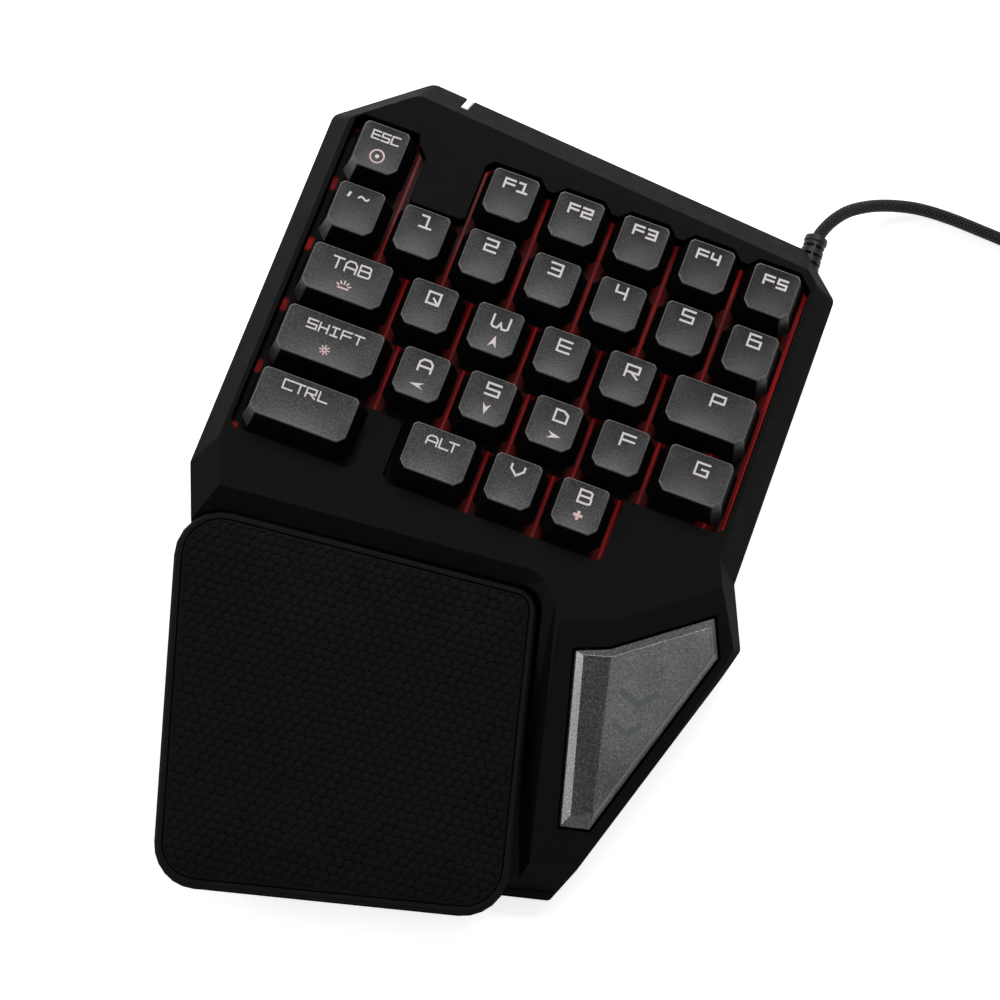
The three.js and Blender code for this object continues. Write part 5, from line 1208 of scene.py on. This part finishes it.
thumb = softened_copy("thumb_key", "thumb_button", silver_grain(), 0.16, 4)
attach(thumb, "thumb_key")
chevron_ink = Finish("grey_ink", Roughness=0.45)
speckle = chevron_ink.noise(2300, 3, 0.65)
ink_stops = (0.3, (0.07, 0.08, 0.08)), (0.7, (0.12, 0.135, 0.135))
chevron_ink.set("Base Color", chevron_ink.ramp(speckle, *ink_stops))
chevron_ink.bump(speckle, 0.04)
chevrons = make_piece(
    "thumb_chevrons",
    [chevron([17.5, 10.5], 5.2, 3.4, 1.7), chevron([15.0, 2.5], 3.9, 2.6, 1.5)],
    [chevron_ink.material],
)
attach(chevrons, "thumb_key")

# Below, four rubber feet are glued into round recesses, and four screws with cross recesses
# hold the two halves of the case together.
soft_rubber = Finish("foot_rubber", Roughness=0.8, Specular_IOR_Level=0.3)
soft_rubber.colour(200, 3, (0.3, 0.012), (0.7, 0.02))
soft_rubber.grain(0.05, 1500, 3)


def turned(radius, height):
    """Rings round an upright axis: each radius times the cosine and the sine of 48 equal angles, at
    its height. Either may be one number for each ring, or for each ring and angle."""
    angle = np.arange(48) / 48 * 2 * math.pi
    radius, height, angle = np.broadcast_arrays(radius, height, angle)
    return np.stack([radius * np.cos(angle), radius * np.sin(angle), height], -1)


def low_middle(node):
    """The middle of the lowest face of the box round a CAD node."""
    low, high = (np.array(corner) * 1000 - FIRST_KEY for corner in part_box(node))
    return np.array([(low[0] + high[0]) / 2, (low[1] + high[1]) / 2, low[2]])


FOOT_PROFILE = np.array([
    [0.05, 0.12], [2.2, 0.12], [2.35, 0.0], [4.9, 0.0], [5.5, 0.06], [5.75, 0.25], [5.8, 0.5],
    [5.8, 2.0], [0.05, 2.0],
])
for name in ("foot_rear_left", "foot_rear_right", "foot_front_left", "foot_front_right"):
    rings = turned(FOOT_PROFILE[:, :1], FOOT_PROFILE[:, 1:]) + low_middle(name) * [1, 1, 0]
    foot = make_piece(name + "_pad", [skin(rings)], [soft_rubber.material], 35)
    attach(foot, "keypad_base")
    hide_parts(name)

screw_steel = Finish("black_zinc_screw", Base_Color=(0.25, 0.25, 0.26, 1), Metallic=1.0, Roughness=0.38)
screw_steel.roughness(900, 3, 0.3, 0.48)


def screw_head():
    """The head's underside from its middle out: a shallow dome, less a cross recess where the angle
    is near one of four arms and the radius is small."""
    angle = np.arange(48) / 48 * 2 * math.pi
    radius = np.array([0.08, 0.35, 0.6, 0.9, 1.15, 1.3, 1.45, 1.8, 2.2, 2.45, 2.6])[:, None]
    arm = np.clip(1.35 - radius * np.abs(np.sin(2 * angle)) * 1.25, 0, 1)
    recess = 0.85 * np.clip(arm * (1.38 - radius) * 1.8, 0, 1)
    return turned(radius, 0.02 + 0.35 * (radius / 2.6) ** 3 + recess)


def screw_shank():
    """Under the head, then a thread: the radius swings by a sine that turns once a pitch."""
    thread_depth, thread_pitch = 0.14, 1.05
    z = np.concatenate([[1.4, 1.6], np.linspace(1.8, 10.2, 64), [10.4]])[:, None]
    angle = np.arange(48) / 48 * 2 * math.pi
    swing = thread_depth * np.cos(2 * math.pi * z / thread_pitch - angle)
    radius = np.where((z > 1.7) & (z < 10.3), 1.14 + swing, np.where(z < 1.7, 1.2, 0.6))
    return turned(radius, z)


for name in ("case_screw_rear_left", "case_screw_rear_right", "case_screw_front_right", "case_screw_left"):
    head_side = turned(2.6, np.array([[0.5], [1.4]]))
    rings = np.vstack([screw_head(), head_side, screw_shank()]) + low_middle(name)
    screw = make_piece(name + "_body", [skin(rings)], [screw_steel.material], 35)
    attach(screw, "keypad_base")
    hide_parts(name)

# Inside lie the dome sheet of milky silicone, the printed contact film, the acrylic light guide
# with its light strip, a steel backing plate, two circuit boards, the thumb key's dome and pin,
# and the keeper that holds the palm rest down.
silicone = Finish("milky_silicone", Roughness=0.5, Subsurface_Weight=0.3, Subsurface_Scale=0.002)
silicone.colour(80, 3, (0.3, (0.55, 0.53, 0.5)), (0.7, (0.64, 0.62, 0.58)))
silicone.grain(0.03, 900)
film = Finish("printed_film", Roughness=0.35)
film.colour(260, 1, (0.47, (0.62, 0.61, 0.56)), (0.53, (0.3, 0.31, 0.32)), stretch=(1, 5, 1))
film.grain(0.01, 700)
acrylic = Finish(
    "clear_acrylic", Base_Color=(0.8, 0.82, 0.84, 1), Roughness=0.08, IOR=1.49, Transmission_Weight=0.6,
)
acrylic.grain(0.02, 1300)
strip_light = Finish(
    "red_light_strip", Roughness=0.4, Emission_Color=(0.9, 0.03, 0.02, 1), Emission_Strength=1.0,
)
strip_light.colour(400, 2, (0.4, (0.7, 0.08, 0.06)), (0.6, (0.8, 0.1, 0.07)))
zinc = Finish("zinc_plate", Base_Color=(0.55, 0.55, 0.56, 1), Metallic=1.0)
zinc.roughness(120, 4, 0.3, 0.5, (1, 18, 1))
zinc.grain(0.01, 400, 3, stretch=(1, 18, 1))
board_mask = Finish("green_board", Roughness=0.4)
board_mask.colour(350, 1, (0.48, (0.012, 0.09, 0.035)), (0.54, (0.03, 0.15, 0.06)), stretch=(1, 3, 1))
board_mask.grain(0.04, 350, 1, stretch=(1, 3, 1))
oiled_steel = Finish("oil_blackened_steel", Base_Color=(0.02, 0.02, 0.021, 1), Metallic=0.6)
oiled_steel.roughness(900, 3, 0.42, 0.58, (1, 6, 1))
for node, finish in {
    "dome_sheet": silicone, "thumb_dome": silicone, "contact_membrane": film, "light_guide": acrylic,
    "led_strip": strip_light, "backing_plate": zinc, "controller_board": board_mask,
    "thumb_switch_board": board_mask, "thumb_pivot_pin": oiled_steel,
}.items():
    refinish(node, finish.material)
refinish("palm_rest_keeper", base_black)
